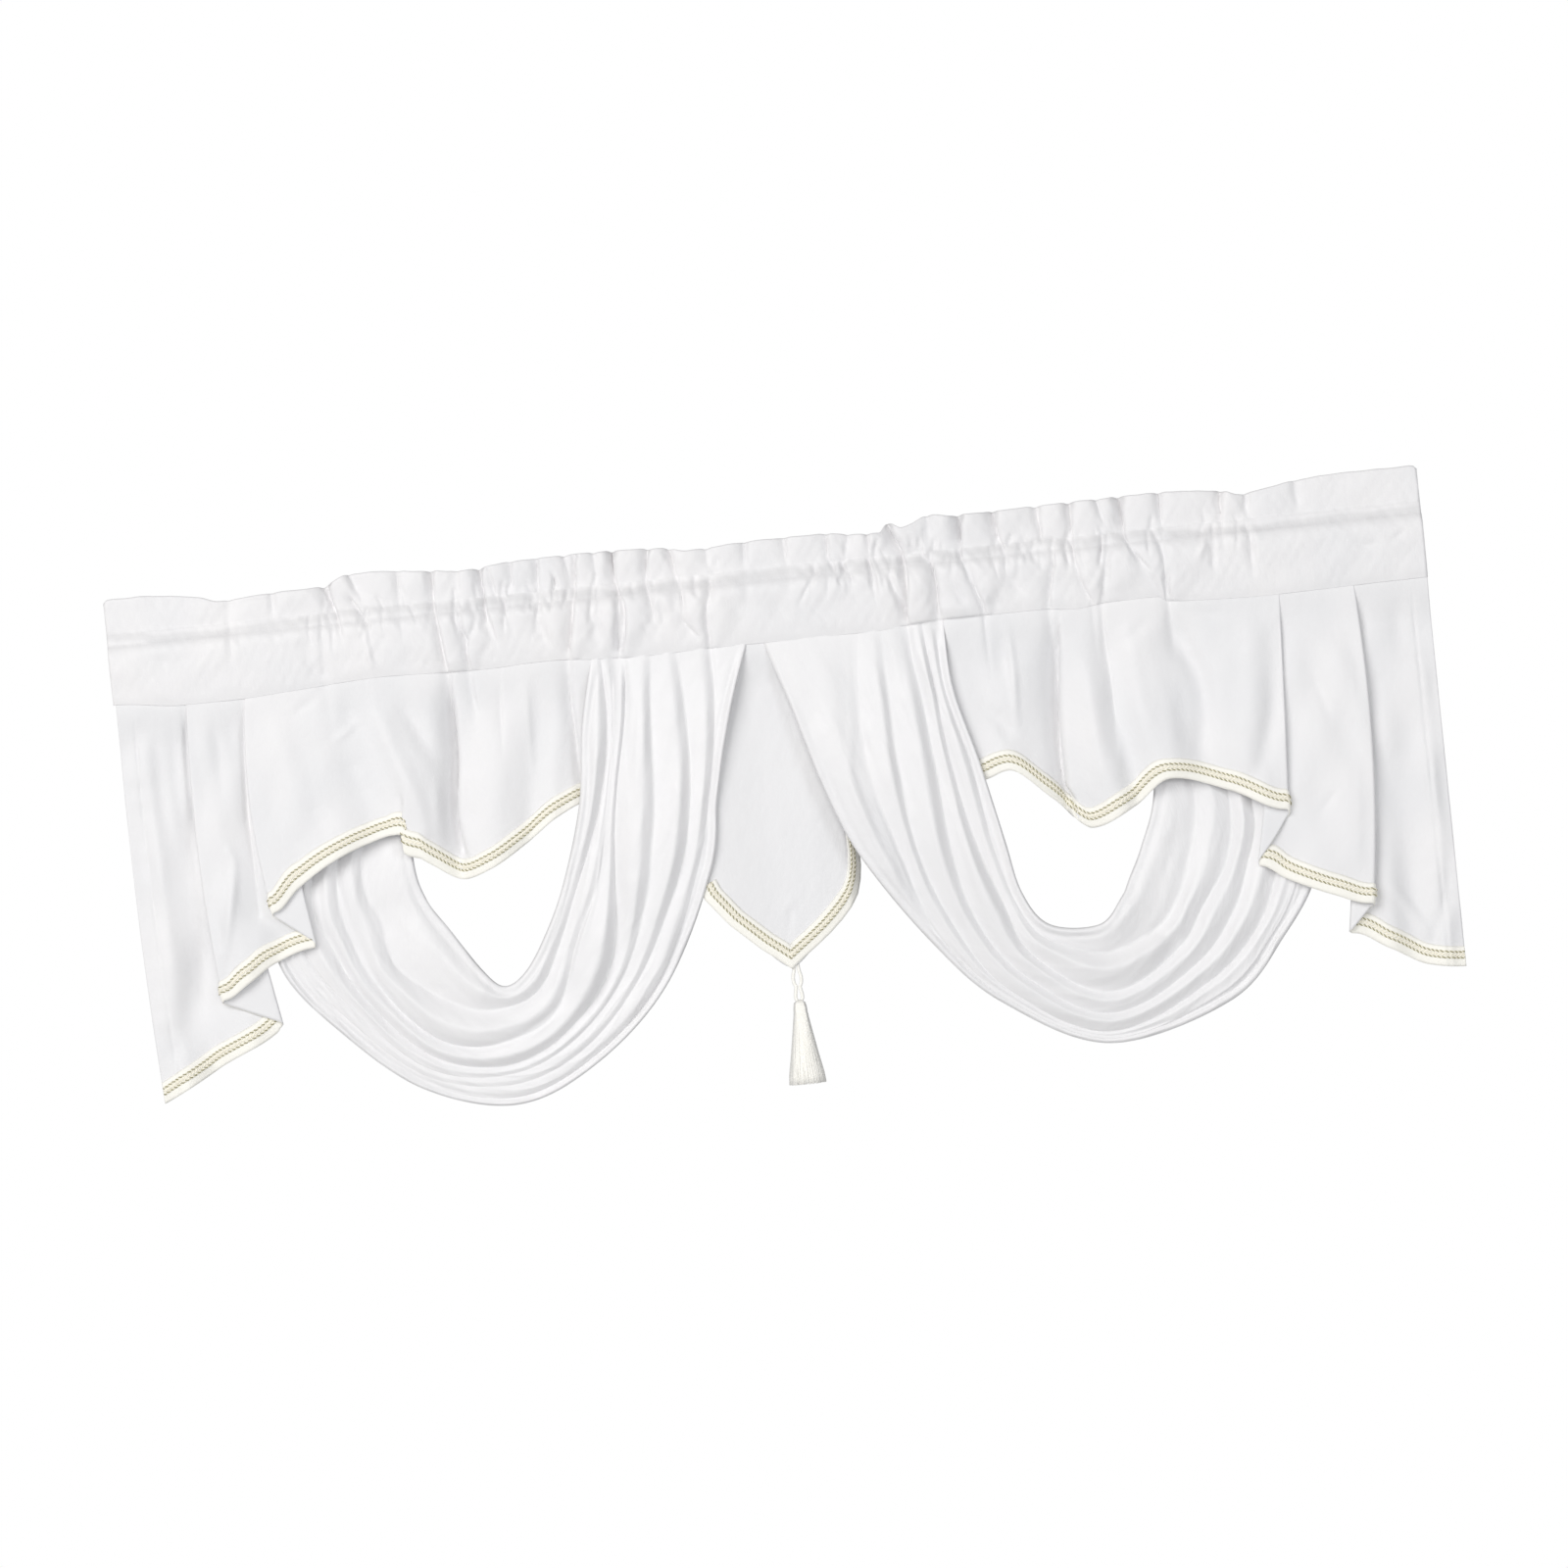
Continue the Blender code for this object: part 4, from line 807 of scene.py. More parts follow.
# Creases of each panel, by the tier that they lie in
LEFT_CREASES = {
    0: [Crease(*row) for row in (
        (((-612, -280), (-614, -340), (-640, -410)), 7.0, 17.0, 0.3, 0.5),
        (((-603, -160), (-602, -185), (-603, -212)), 5.0, 8.0, 0.3, 0.3, 5.0),
        (((-646, -70), (-644, -200), (-640, -330)), -2.0, 7.0, 0.3, 0.3),
        (((-601, -58), (-604, -120), (-605, -185)), 4.5, 4.0, 1.0, 0.4),
        (((-652, -400), (-640, -425)), 2.0, 6.0, 0.3, 0.3),
        (((-622, -70), (-626, -150), (-618, -230)), -1.8, 7.0, 0.3, 0.3),
        (((-640, -66), (-652, -100)), 1.6, 8.0, 0.5, 0.3),
    )],
    1: [Crease(*row) for row in (
        (((-545, -150), (-547, -200), (-547, -285)), 4.0, 9.0, 0.3, 0.6, 3.0),
        (((-571, -219), (-568, -241), (-586, -324)), -3.0, 5.0, 0.4, 0.4),
        (((-574, -70), (-572, -170)), 2.0, 7.0, 0.3, 0.2),
        (((-541, -58), (-545, -110), (-549, -190)), 4.5, 6.0, 1.0, 0.5, 4.0),
        (((-560, -66), (-556, -110)), 2.0, 9.0, 0.6, 0.2),
        (((-530, -300), (-512, -330)), 2.5, 8.0, 0.3, 0.3),
    )],
    2: [Crease(*row) for row in (
        (((-329, -56), (-328, -110), (-329, -150), (-335, -202), (-333, -240)),
         23.0, 14.0, 0.6, 0.7, 2.0),
        (((-411, -74), (-398, -125), (-383, -170), (-371, -215)), -6.5, 12.0, 0.3, 0.5),
        (((-386, -60), (-370, -110), (-350, -155)), 6.0, 11.0, 1.0, 0.3),
        (((-450, -118), (-432, -160), (-420, -200)), 6.0, 17.0, 0.4, 0.4),
        (((-436, -58), (-437, -82), (-432, -104)), 4.5, 11.0, 0.9, 0.3),
        (((-457, -60), (-474, -74), (-492, -86)), 4.0, 5.5, 0.7, 0.2),
        (((-454, -118), (-440, -110), (-427, -100)), -1.6, 4.0, 0.2, 0.2),
        (((-308, -58), (-306, -84), (-303, -108)), 4.0, 4.0, 1.0, 0.1, 2.4),
        (((-278, -60), (-281, -110), (-284, -150)), 3.0, 8.0, 0.6, 0.2, 4.0),
        (((-252, -62), (-255, -170)), -2.6, 8.0, 0.6, 0.3, 5.0),
        (((-209, -58), (-207, -130), (-206, -195)), 8.0, 9.0, 0.9, 0.5, 2.0),
        (((-512, -78), (-500, -140), (-505, -200)), -2.6, 14.0, 0.4, 0.4),
        (((-486, -170), (-470, -215)), 2.6, 12.0, 0.3, 0.4),
        (((-354, -170), (-356, -228)), -2.5, 6.0, 0.3, 0.4),
    )],
}
RIGHT_CREASES = {
    0: [Crease(*row) for row in (
        (((297, -56), (294, -100), (292, -150), (290, -200), (290, -262)), 17.0, 12.0, 0.7, 0.8, 2.0),
        (((289, -100), (286, -160), (282, -215), (285, -262)), 8.0, 26.0, 0.3, 1.0, 4.0),
        (((338, -58), (342, -150), (340, -210)), 4.0, 9.0, 0.8, 0.3, 5.0),
        (((411, -46), (415, -98), (431, -140), (434, -180), (424, -222)), 7.5, 12.0, 1.0, 0.3),
        (((425, -68), (442, -76), (462, -82)), 4.0, 7.0, 0.4, 0.2),
        (((391, -74), (374, -88), (356, -104)), 2.0, 6.0, 0.4, 0.1),
        (((225, -70), (232, -100), (228, -130)), 3.0, 10.0, 0.6, 0.2),
        (((212, -150), (226, -168), (234, -190)), 4.0, 9.0, 0.3, 0.2),
        (((241, -62), (243, -110), (241, -170)), -3.0, 4.0, 0.8, 0.3),
        (((489, -85), (486, -140), (480, -190)), -4.0, 13.0, 0.3, 0.4),
        (((511, -105), (505, -170), (494, -212), (478, -246), (452, -262)), 3.5, 10.0, 0.2, 0.3),
        (((364, -66), (366, -140), (372, -200)), -2.4, 9.0, 0.5, 0.3),
        (((396, -150), (400, -220)), -3.0, 10.0, 0.3, 0.4),
        (((318, -120), (322, -230)), -2.4, 8.0, 0.3, 0.4),
    )],
    1: [Crease(*row) for row in (
        (((544, -144), (552, -165), (560, -200)), 1.2, 5.0, 0.2, 0.2),
        (((538, -292), (548, -284), (560, -268)), 1.4, 4.0, 0.2, 0.2),
        (((530, -70), (533, -200), (525, -310)), -1.2, 12.0, 0.4, 0.4),
    )],
    2: [Crease(*row) for row in (
        (((607, -376), (622, -400), (640, -431)), -3.0, 5.0, 0.3, 0.4),
        (((662, -362), (657, -401), (643, -433)), 3.4, 7.0, 0.3, 0.6),
        (((629, -28), (659, -13)), 1.0, 3.0, 0.2, 0.2),
        (((602, -160), (610, -260), (618, -340), (624, -400)), 4.0, 18.0, 0.2, 0.5),
        (((604, -66), (600, -130)), 2.0, 7.0, 0.5, 0.2),
        (((640, -80), (636, -140)), 1.6, 9.0, 0.4, 0.3),
        (((650, -230), (662, -330)), -2.2, 8.0, 0.3, 0.3),
    )],
}

# The strip under the braid is as wide as the braid, and taller by up to MAX_STRETCH where the foot
# slopes; how much taller is evened out over STRETCH_REACH columns on both sides. In working it out
# two columns count as SHORTEST_RUN apart or more.
BRAID_WIDTH = 20.0
MAX_STRETCH = 1.35
STRETCH_REACH = 4
SHORTEST_RUN = 0.3
# Of the step between the feet of two tiers, the share in which the cloth turns over at each fold
TURN_SHARE = 0.15
# The soft folds of a tier fade out over this share of its width at both sides
FADE_SHARE = 0.125
# Millimetres between the columns of a tier; columns round a fold and on the cloth between two folds;
# rows down to the braid's strip and in it
TIER_STEP = 1.7
TURN_STEPS = 7
RETURN_STEPS = 10
DROP_STEPS = 74
STRIP_STEPS = 6
# How far the tops of the hanging cloths reach up behind the band's edge
TUCKED = 3.0
# The cloth is drawn sideways by its creases from the seam to the braid, fading in and out over these
# heights
DRAWN_FADE_TOP = 12.0
DRAWN_FADE_FOOT = 22.0
# Slack swells of a panel: height, length across and down, and the drop under the seam over which
# they grow
PANEL_SLACK = 2.0
PANEL_SLACK_ACROSS = 80.0
PANEL_SLACK_DOWN = 130.0
PANEL_SLACK_DROP = 60.0
# The side hem: its width, the groove of its stitching, and the small puckers along it, whose pitch
# drifts to and fro by an angle over one length, and which come and go over another
HEM_WIDTH = 17.0
HEM_GROOVE = 0.9
HEM_GROOVE_WIDTH = 1.8
HEM_PUCKER = 0.45
HEM_PUCKER_PITCH = 31.0
HEM_PUCKER_AT = 0.7 * HEM_WIDTH
HEM_DRIFT = 3.5
HEM_DRIFT_LENGTH = 29.0
HEM_BREAK_LENGTH = 47.0
# A small pleat in the left panel, whose fold edge ends in a step of its foot: where it lies, the
# width of cloth that it takes up, how far it laps over, how far it steps back, and where it fades out
Pleat = namedtuple("Pleat", "tier x width lap back gone full")
LEFT_PLEAT = Pleat(2, -390.0, 26.0, 8.5, 4.0, -165.0, -214.0)
# The cloth beside the pleat comes forward again over this many of its widths
PLEAT_BEYOND = 6

# The seam presses the layers together; they open out over a short drop below it
PRESSED_Y = -4.35
PRESSED_SHARE = 0.07
PRESS_DROP = 46.0
SINK_DROP = 75.0

# Where a column lies: on a tier, on a fold, on the return behind it or on the turn after that; which
# tier; and how far through that stretch
Place = namedtuple("Place", "kind tier share")


def pressed(x, y, z):
    """Depth y of a layer, drawn toward the others near the seam and sunk with the seam's creases."""
    together = mix(PRESSED_Y + PRESSED_SHARE * y, y, ease((SEAM_Z - z) / PRESS_DROP))
    return together + seam_sink(x) * (1 - ease((SEAM_Z - z) / SINK_DROP))


def down_share(line, z):
    """How far down a fold line a height is, from 0 at the seam to 1 at its foot."""
    return np.clip((z - SEAM_Z) / (line.foot_z - SEAM_Z), 0.0, 1.0)


def line_x(line, z):
    """x of a fold line at height z, a parabola through its three places."""
    t = (z - SEAM_Z) / (line.foot_z - SEAM_Z)
    ends = line.seam * (1 - t) * (1 - 2 * t) + line.foot * t * (2 * t - 1)
    return ends + line.middle * 4 * t * (1 - t)


def tier_side(tier, side, z):
    """x and y of a tier's start (side 0) or end (side 1) at height z."""
    line = (tier.start, tier.end)[side]
    return line_x(line, z), mix(tier.seam_y[side], tier.foot_y[side], down_share(line, z))


def panel_places(tiers):
    """The columns of a panel: along each tier, round its fold, back along the return, and so on."""
    places = []
    for k, tier in enumerate(tiers):
        steps = round(abs(tier.end.foot - tier.start.foot) / TIER_STEP)
        places += [Place("tier", k, n / steps) for n in range(min(k, 1), steps + 1)]
        if k < len(tiers) - 1:
            places += [Place("fold", k, n / TURN_STEPS) for n in range(1, TURN_STEPS + 1)]
            places += [Place("return", k, n / RETURN_STEPS) for n in range(1, RETURN_STEPS + 1)]
            places += [Place("turn", k, n / TURN_STEPS) for n in range(1, TURN_STEPS + 1)]
    return places


def calm_share(share):
    """0 at both sides of a tier and 1 between them."""
    return min(1.0, share / FADE_SHARE, (1 - share) / FADE_SHARE)


def panel_section(tiers, folds, place, z):
    """x and y of a column at the heights z."""
    tier = tiers[place.tier]
    start_x, start_y = tier_side(tier, 0, z)
    end_x, end_y = tier_side(tier, 1, z)
    if place.kind == "tier":
        # A fold line is the outside of a round whose radius is a quarter of the step in depth
        if place.tier > 0:
            start_x = start_x + abs(start_y - tier_side(tiers[place.tier - 1], 1, z)[1]) / 4
        if place.tier < len(tiers) - 1:
            end_x = end_x - abs(end_y - tier_side(tiers[place.tier + 1], 0, z)[1]) / 4
        x = mix(start_x, end_x, place.share)
        y = mix(start_y, end_y, place.share)
        calm = calm_share(place.share)
        for fold in folds:
            if fold.tier == place.tier:
                t = down_share(tier.start, z)
                away = (place.share - mix(fold.seam, fold.foot, t)) * (end_x - start_x) / fold.width
                y = y + calm * mix(fold.seam_depth, fold.foot_depth, t) * np.exp(-away * away)
        return x, y
    next_x, next_y = tier_side(tiers[place.tier + 1], 0, z)
    return_y = (end_y + next_y) / 2
    fold_radius = abs(end_y - return_y) / 2
    turn_radius = abs(next_y - return_y) / 2
    angle = math.pi * place.share
    if place.kind == "fold":
        x = end_x - fold_radius * (1 - math.sin(angle))
        return x, mix(end_y, return_y, (1 - math.cos(angle)) / 2)
    if place.kind == "return":
        return mix(end_x - fold_radius, next_x + turn_radius, place.share), return_y
    x = next_x + turn_radius * (1 - math.sin(angle))
    return x, mix(return_y, next_y, (1 - math.cos(angle)) / 2)


def panel_foot(tiers, place):
    """z of the panel's foot at a column."""
    tier = tiers[place.tier]
    if place.kind == "tier":
        return float(through(tier.foot, mix(tier.start.foot, tier.end.foot, place.share)))
    share = {
        "fold": TURN_SHARE * place.share,
        "return": mix(TURN_SHARE, 1 - TURN_SHARE, place.share),
        "turn": 1 - TURN_SHARE * (1 - place.share),
    }[place.kind]
    return mix(tier.foot[-1][1], tiers[place.tier + 1].foot[0][1], share)


def pleated(pleat, tier, x, y, z):
    """Lap the cloth over itself at the pleat: x runs forward, back and forward again."""
    if pleat is None or tier != pleat.tier:
        return x, y
    t = np.clip((x - pleat.x) / pleat.width + 0.5, 0, 1)
    taken = ease((z - pleat.gone) / (pleat.full - pleat.gone))
    lapped = x - pleat.lap * taken * np.sin(math.tau * (t - 0.5))
    beyond = 1 - ease((x - pleat.x) / (PLEAT_BEYOND * pleat.width))
    return lapped, y + pleat.back * taken * ease(t) * beyond


def hemmed(x, z, edge):
    """The groove and puckers of a side hem, whose outer edge is at x=edge."""
    away = np.abs(x - edge)
    groove = HEM_GROOVE * np.exp(-((away - HEM_WIDTH) / HEM_GROOVE_WIDTH) ** 2)
    drift = HEM_DRIFT * np.sin(z / HEM_DRIFT_LENGTH)
    wave = np.sin(math.tau * z / HEM_PUCKER_PITCH + drift) * np.sin(z / HEM_BREAK_LENGTH + 1)
    puckers = HEM_PUCKER * wave * np.exp(-((away - HEM_PUCKER_AT) / HEM_WIDTH) ** 2)
    return groove * (1 + 0.5 * wave) + puckers


def panel_points(tiers, folds, creases, hem_tier, hem_edge, pleat, seed):
    """The grid of a panel; the last STRIP_STEPS of each column are the strip under the braid."""
    places = panel_places(tiers)
    feet = np.array([panel_foot(tiers, place) for place in places])

    def at_foot(i):
        x, y = panel_section(tiers, folds, places[i], feet[i])
        return np.array([x, y], float)

    columns = []
    last = len(places) - 1
    stretch = np.ones(len(places))
    for i, place in enumerate(places):
        a, b = max(i - 1, 0), min(i + 1, last)
        if place.kind == "tier":
            run = max(np.linalg.norm(at_foot(b) - at_foot(a)), SHORTEST_RUN * (b - a))
            stretch[i] = min(MAX_STRETCH, math.hypot(1.0, (feet[b] - feet[a]) / run))
    beside = np.ones(2 * STRETCH_REACH + 1)
    stretch = np.convolve(np.pad(stretch, STRETCH_REACH, "edge"), beside, "valid") / len(beside)
    for i, place in enumerate(places):
        seam_x = float(panel_section(tiers, folds, place, SEAM_Z)[0])
        above = feet[i] + BRAID_WIDTH * stretch[i]
        z = np.concatenate([
            np.linspace(float(seam_z(seam_x)) + TUCKED, above, DROP_STEPS + 1),
            np.linspace(above, feet[i], STRIP_STEPS + 1)[1:],
        ])
        x, y = panel_section(tiers, folds, place, z)
        if place.kind == "tier":
            pushed, drawn = creased(x, z, creases[place.tier])
            calm = calm_share(place.share)
            free = ease((SEAM_Z - z) / DRAWN_FADE_TOP) * ease((z - above) / DRAWN_FADE_FOOT)
            x = x - calm * drawn * free
            y = y + pushed
            swells = slack(x, z, PANEL_SLACK_ACROSS, PANEL_SLACK_DOWN, seed + place.tier)
            y = y - calm * ease((SEAM_Z - z) / PANEL_SLACK_DROP) * PANEL_SLACK * swells
            x, y = pleated(pleat, place.tier, x, y, z)
            if place.tier == hem_tier:
                y = y + hemmed(x, z, line_x(hem_edge, z))
        y = pressed(x, y, z)
        columns.append(np.stack([x, y, z], axis=1))
    return np.stack(columns, axis=0)


panel_cloth = satin("satin_panels", (0.845, 0.839, 0.844), (0.795, 0.797, 0.808), 0.54)
LEFT_SEED = 20
RIGHT_SEED = 40
panel_grids = {
    "left": panel_points(
        LEFT_TIERS, LEFT_FOLDS, LEFT_CREASES, 0, LEFT_TIERS[0].start, LEFT_PLEAT, LEFT_SEED,
    ),
    "right": panel_points(
        RIGHT_TIERS, RIGHT_FOLDS, RIGHT_CREASES, 2, RIGHT_TIERS[2].end, None, RIGHT_SEED,
    ),
}
for hand, grid in panel_grids.items():
    weft = np.broadcast_to(lengths(grid, 0)[:, :1], grid.shape[:2])
    panel = cloth_from("panel_" + hand, grid, weft, lengths(grid, 1), SATIN_THICKNESS, panel_cloth)
    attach(panel, "root")
    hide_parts("side_panel_" + hand)


# Swags. Each is a bias-cut cloth, pleated together at both ends and hung in a deep curve: its inner
# arm falls from the seam beside the pennant, and its outer arm climbs to the seam behind the side
# panel. Its long edges are narrowly rolled and sewn.

# A row for each section across the cloth, from the inner end to the outer one: x and z of the upper
# and of the lower edge, and the shares between them at which the valleys lie
Section = namedtuple("Section", "upper lower valleys")
LEFT_SWAG = [Section(*row) for row in (
    ((-184, -62), (-25, -62), (0.06, 0.13, 0.22, 0.38, 0.54, 0.78)),
    ((-200, -128), (-48, -128), (0.17, 0.21, 0.28, 0.46, 0.70, 0.89)),
    ((-211, -208), (-69, -208), (0.15, 0.20, 0.26, 0.54, 0.80, 0.93)),
    ((-236, -288), (-84, -288), (0.10, 0.23, 0.35, 0.58, 0.78, 0.90)),
    ((-261, -340), (-141, -400), (0.13, 0.25, 0.55, 0.67, 0.79, 0.93)),
    ((-284, -373), (-221, -473), (0.19, 0.42, 0.62, 0.72, 0.83, 0.93)),
    ((-306, -384), (-306, -506), (0.18, 0.44, 0.66, 0.74, 0.83, 0.93)),
    ((-326, -366), (-401, -479), (0.31, 0.60, 0.75, 0.84, 0.90, 0.95)),
    ((-356, -320), (-481, -410), (0.43, 0.60, 0.73, 0.83, 0.90, 0.95)),
    ((-376, -288), (-529, -348), (0.32, 0.53, 0.66, 0.82, 0.89, 0.95)),
    ((-385, -248), (-535, -288), (0.36, 0.54, 0.72, 0.84, 0.90, 0.95)),
    ((-383, -168), (-519, -178), (0.35, 0.52, 0.68, 0.80, 0.88, 0.94)),
    ((-381, -62), (-510, -62), (0.30, 0.45, 0.60, 0.74, 0.84, 0.92)),
)]
RIGHT_SWAG = [Section(*row) for row in (
    ((177, -62), (-8, -62), (0.05, 0.12, 0.20, 0.35, 0.48)),
    ((180, -128), (13, -128), (0.05, 0.11, 0.20, 0.40, 0.58)),
    ((200, -208), (36, -208), (0.06, 0.18, 0.28, 0.51, 0.69)),
    ((217, -288), (68, -288), (0.09, 0.20, 0.38, 0.60, 0.73)),
    ((229, -343), (134, -386), (0.10, 0.21, 0.52, 0.735, 0.90)),
    ((254, -378), (199, -453), (0.15, 0.38, 0.62, 0.85, 0.94)),
    ((304, -383), (304, -505), (0.24, 0.57, 0.75, 0.905, 0.96)),
    ((329, -358), (431, -474), (0.31, 0.51, 0.665, 0.81, 0.92)),
    ((339, -340), (492, -413), (0.32, 0.475, 0.655, 0.83, 0.93)),
    ((355, -308), (529, -356), (0.28, 0.49, 0.61, 0.78, 0.90)),
    ((373, -256), (534, -298), (0.26, 0.48, 0.62, 0.79, 0.90)),
    ((377, -168), (505, -178), (0.26, 0.46, 0.62, 0.78, 0.90)),
    ((379, -62), (495, -62), (0.25, 0.44, 0.62, 0.78, 0.90)),
)]

# How each section lies in depth: y of the valleys, the height of the swells in front of them, and
# how far each pleat lies behind the one above it
Lie = namedtuple("Lie", "valley_y swell step")
SWAG_LIES = [Lie(*row) for row in (
    (-3.9, 1.1, 0.0),
    (-5.4, 8.0, 0.0),
    (-6.6, 11.5, 0.0),
    (-6.0, 13.5, 0.3),
    (-5.0, 15.0, 1.0),
    (-3.6, 15.0, 1.4),
    (-2.0, 15.0, 1.8),
    (2.0, 14.0, 1.2),
    (4.0, 11.0, 0.4),
    (6.0, 8.5, 0.0),
    (5.5, 7.0, 0.0),
    (10.5, 2.5, 0.0),
    (5.0, 1.0, 0.0),
)]

# How sharply each valley is sunk on the inner arm, at the low point and on the outer arm
LEFT_VALLEYS = (
    (1.0, 0.9, 0.8), (0.1, 0.4, 1.0), (1.0, 1.0, 1.0), (0.9, 0.35, 0.9), (1.0, 0.35, 0.3),
    (0.8, 0.1, 0.1),
)
RIGHT_VALLEYS = (
    (0.3, 0.9, 1.0), (1.0, 0.9, 1.0), (1.0, 0.9, 1.0), (0.5, 1.0, 1.0), (0.9, 0.1, 0.3),
)
LEFT_SWAG_CREASES = [Crease(*row) for row in (
    (((-221, -323), (-233, -368), (-256, -413), (-321, -443), (-386, -426), (-434, -368), (-469, -248)),
     3.0, 4.0, 0.2, 0.2),
    (((-396, -259), (-381, -298), (-354, -337), (-326, -367)), 1.6, 3.0, 0.2, 0.2, 6.0),
    (((-106, -343), (-129, -383)), 1.6, 3.0, 0.1, 0.1),
    (((-498, -363), (-486, -376)), 1.2, 2.5, 0.2, 0.1),
    (((-381, -376), (-366, -383)), 1.2, 3.0, 0.1, 0.1),
)]
RIGHT_SWAG_CREASES = [Crease(*row) for row in (
    (((30, -108), (44, -158)), 2.2, 7.0, 0.2, 0.1),
    (((83, -63), (73, -158), (67, -208), (82, -263), (102, -308), (119, -348)), -1.6, 2.5, 0.4, 0.1),
    (((106, -73), (107, -148), (113, -238), (127, -313), (139, -348)), -1.6, 3.0, 0.4, 0.1),
    (((149, -88), (161, -138), (169, -168)), -1.4, 2.2, 0.4, 0.2),
    (((359, -398), (379, -408), (364, -428)), 3.0, 7.0, 0.3, 0.3),
)]
# Where each pleat's ridge lies between its valleys, on the inner arm, at the low point and on the
# outer arm, and the shares of the cloth's length at which these are
LEFT_RIDGES = (0.72, 0.62, 0.36)
RIGHT_RIDGES = (0.3, 0.4, 0.5)
RIDGE_PLACES = (0.1, 0.5, 0.9)
PLEAT_STEPS = 16
LENGTH_STEPS = 260
# A pleat stands out by no more than this share of its width, and this power rounds its ridge
SWELL_OF_WIDTH = 0.4
SWAG_POWER = 1.25
# The share of a pleat's round that is missing at each long edge of the cloth
EDGE_SHARE = 0.22
# The rolled edge: its height, how far in its ridge and the groove of its stitching lie, their half
# width, the groove's depth as a share of the ridge's height, and where it fades toward both ends
EDGE_ROLL = 1.6
ROLL_RIDGE = 2.5
ROLL_GROOVE = 8.5
ROLL_WIDTH = 2.5
GROOVE_SHARE = 0.8
ROLL_FADE = 0.05
# Slack swells of the cloth: height, length across and along. With the drag lines and the creases
# they fade out over this share of its length toward each end.
SWAG_SLACK = 0.6
SWAG_SLACK_ACROSS = 26.0
SWAG_SLACK_ALONG = 190.0
END_FADE = 0.12
# The small lines in which the cloth creases along its pleats: height, how sharp, their spacing
DRAG_HEIGHT = 0.7
DRAG_SHARPNESS = 8
DRAG_ACROSS = 34.0
DRAG_ALONG = 260.0


def between_ends(progress, fade):
    """1 along a cloth, and 0 at both of its ends."""
    return ease(progress / fade) * ease((1 - progress) / fade)


def swag_points(sections, valleys, ridges, creases, seed):
    """The grid of a swag: across its pleats from the upper edge, and along it from the inner end."""
    t = np.linspace(0, len(sections) - 1, LENGTH_STEPS + 1)
    upper_x = between([row.upper[0] for row in sections], t)
    upper_z = between([row.upper[1] for row in sections], t)
    lower_x = between([row.lower[0] for row in sections], t)
    lower_z = between([row.lower[1] for row in sections], t)
    count = len(valleys)
    stops = [between([row.valleys[k] for row in sections], t) for k in range(count)]
    stops = [0 * t, *stops, 0 * t + 1]
    whole = np.hypot(lower_x - upper_x, lower_z - upper_z)
    valley_y = between([row.valley_y for row in SWAG_LIES], t)
    swells = between([row.swell for row in SWAG_LIES], t)
    step = between([row.step for row in SWAG_LIES], t)
    progress = t / (len(sections) - 1)
    ridge = np.interp(progress, RIDGE_PLACES, ridges)
    roll = EDGE_ROLL * between_ends(progress, ROLL_FADE)

    def sunk_at(k):
        if not 0 <= k < count:
            return 0 * t + 1.0
        return np.interp(progress, (0, 0.5, 1), valleys[k])

    columns = []
    for pleat in range(count + 1):
        first = 0 if pleat == 0 else 1
        for n in range(first, PLEAT_STEPS + 1):
            share = n / PLEAT_STEPS
            across = mix(stops[pleat], stops[pleat + 1], share)
            x = mix(upper_x, lower_x, across)
            z = mix(upper_z, lower_z, across)
            swell = np.minimum(swells, SWELL_OF_WIDTH * (stops[pleat + 1] - stops[pleat]) * whole)
            rounds = share
            if pleat == 0:
                rounds = mix(EDGE_SHARE, 1.0, share)
            if pleat == count:
                rounds = mix(0.0, 1 - EDGE_SHARE, share)
            rounds = np.where(rounds < ridge, 0.5 * rounds / ridge, 1 - 0.5 * (1 - rounds) / (1 - ridge))
            height = 1 - abs(2 * rounds - 1) ** SWAG_POWER
            height = 1 - mix(sunk_at(pleat - 1), sunk_at(pleat), share) * (1 - height)
            y = valley_y - swell * height + step * (pleat + share)
            for edge in (across * whole, (1 - across) * whole):
                y = y - roll * np.exp(-((edge - ROLL_RIDGE) / ROLL_WIDTH) ** 2)
                y = y + GROOVE_SHARE * roll * np.exp(-((edge - ROLL_GROOVE) / ROLL_WIDTH) ** 2)
            columns.append(np.stack([x, y, z], axis=1))
    points = np.stack(columns, axis=0)
    x = points[:, :, 0]
    z = points[:, :, 2]
    along = lengths(points, 1)
    width = lengths(points, 0)
    calm = between_ends(progress, END_FADE)
    swells = SWAG_SLACK * slack(width, along, SWAG_SLACK_ACROSS, SWAG_SLACK_ALONG, seed)
    drag = np.abs(slack(width, along, DRAG_ACROSS, DRAG_ALONG, seed + 1))
    drag = (1 - np.clip(drag, 0, 1)) ** DRAG_SHARPNESS
    points[:, :, 1] += calm * (creased(x, z, creases)[0] - swells)
    points[:, :, 1] -= calm * DRAG_HEIGHT * drag
    points[:, :, 1] += seam_sink(x) * (1 - ease((SEAM_Z - z) / SINK_DROP))
    for end in (0, -1):
        points[:, end, 2] = seam_z(points[:, end, 0]) + TUCKED
    return points


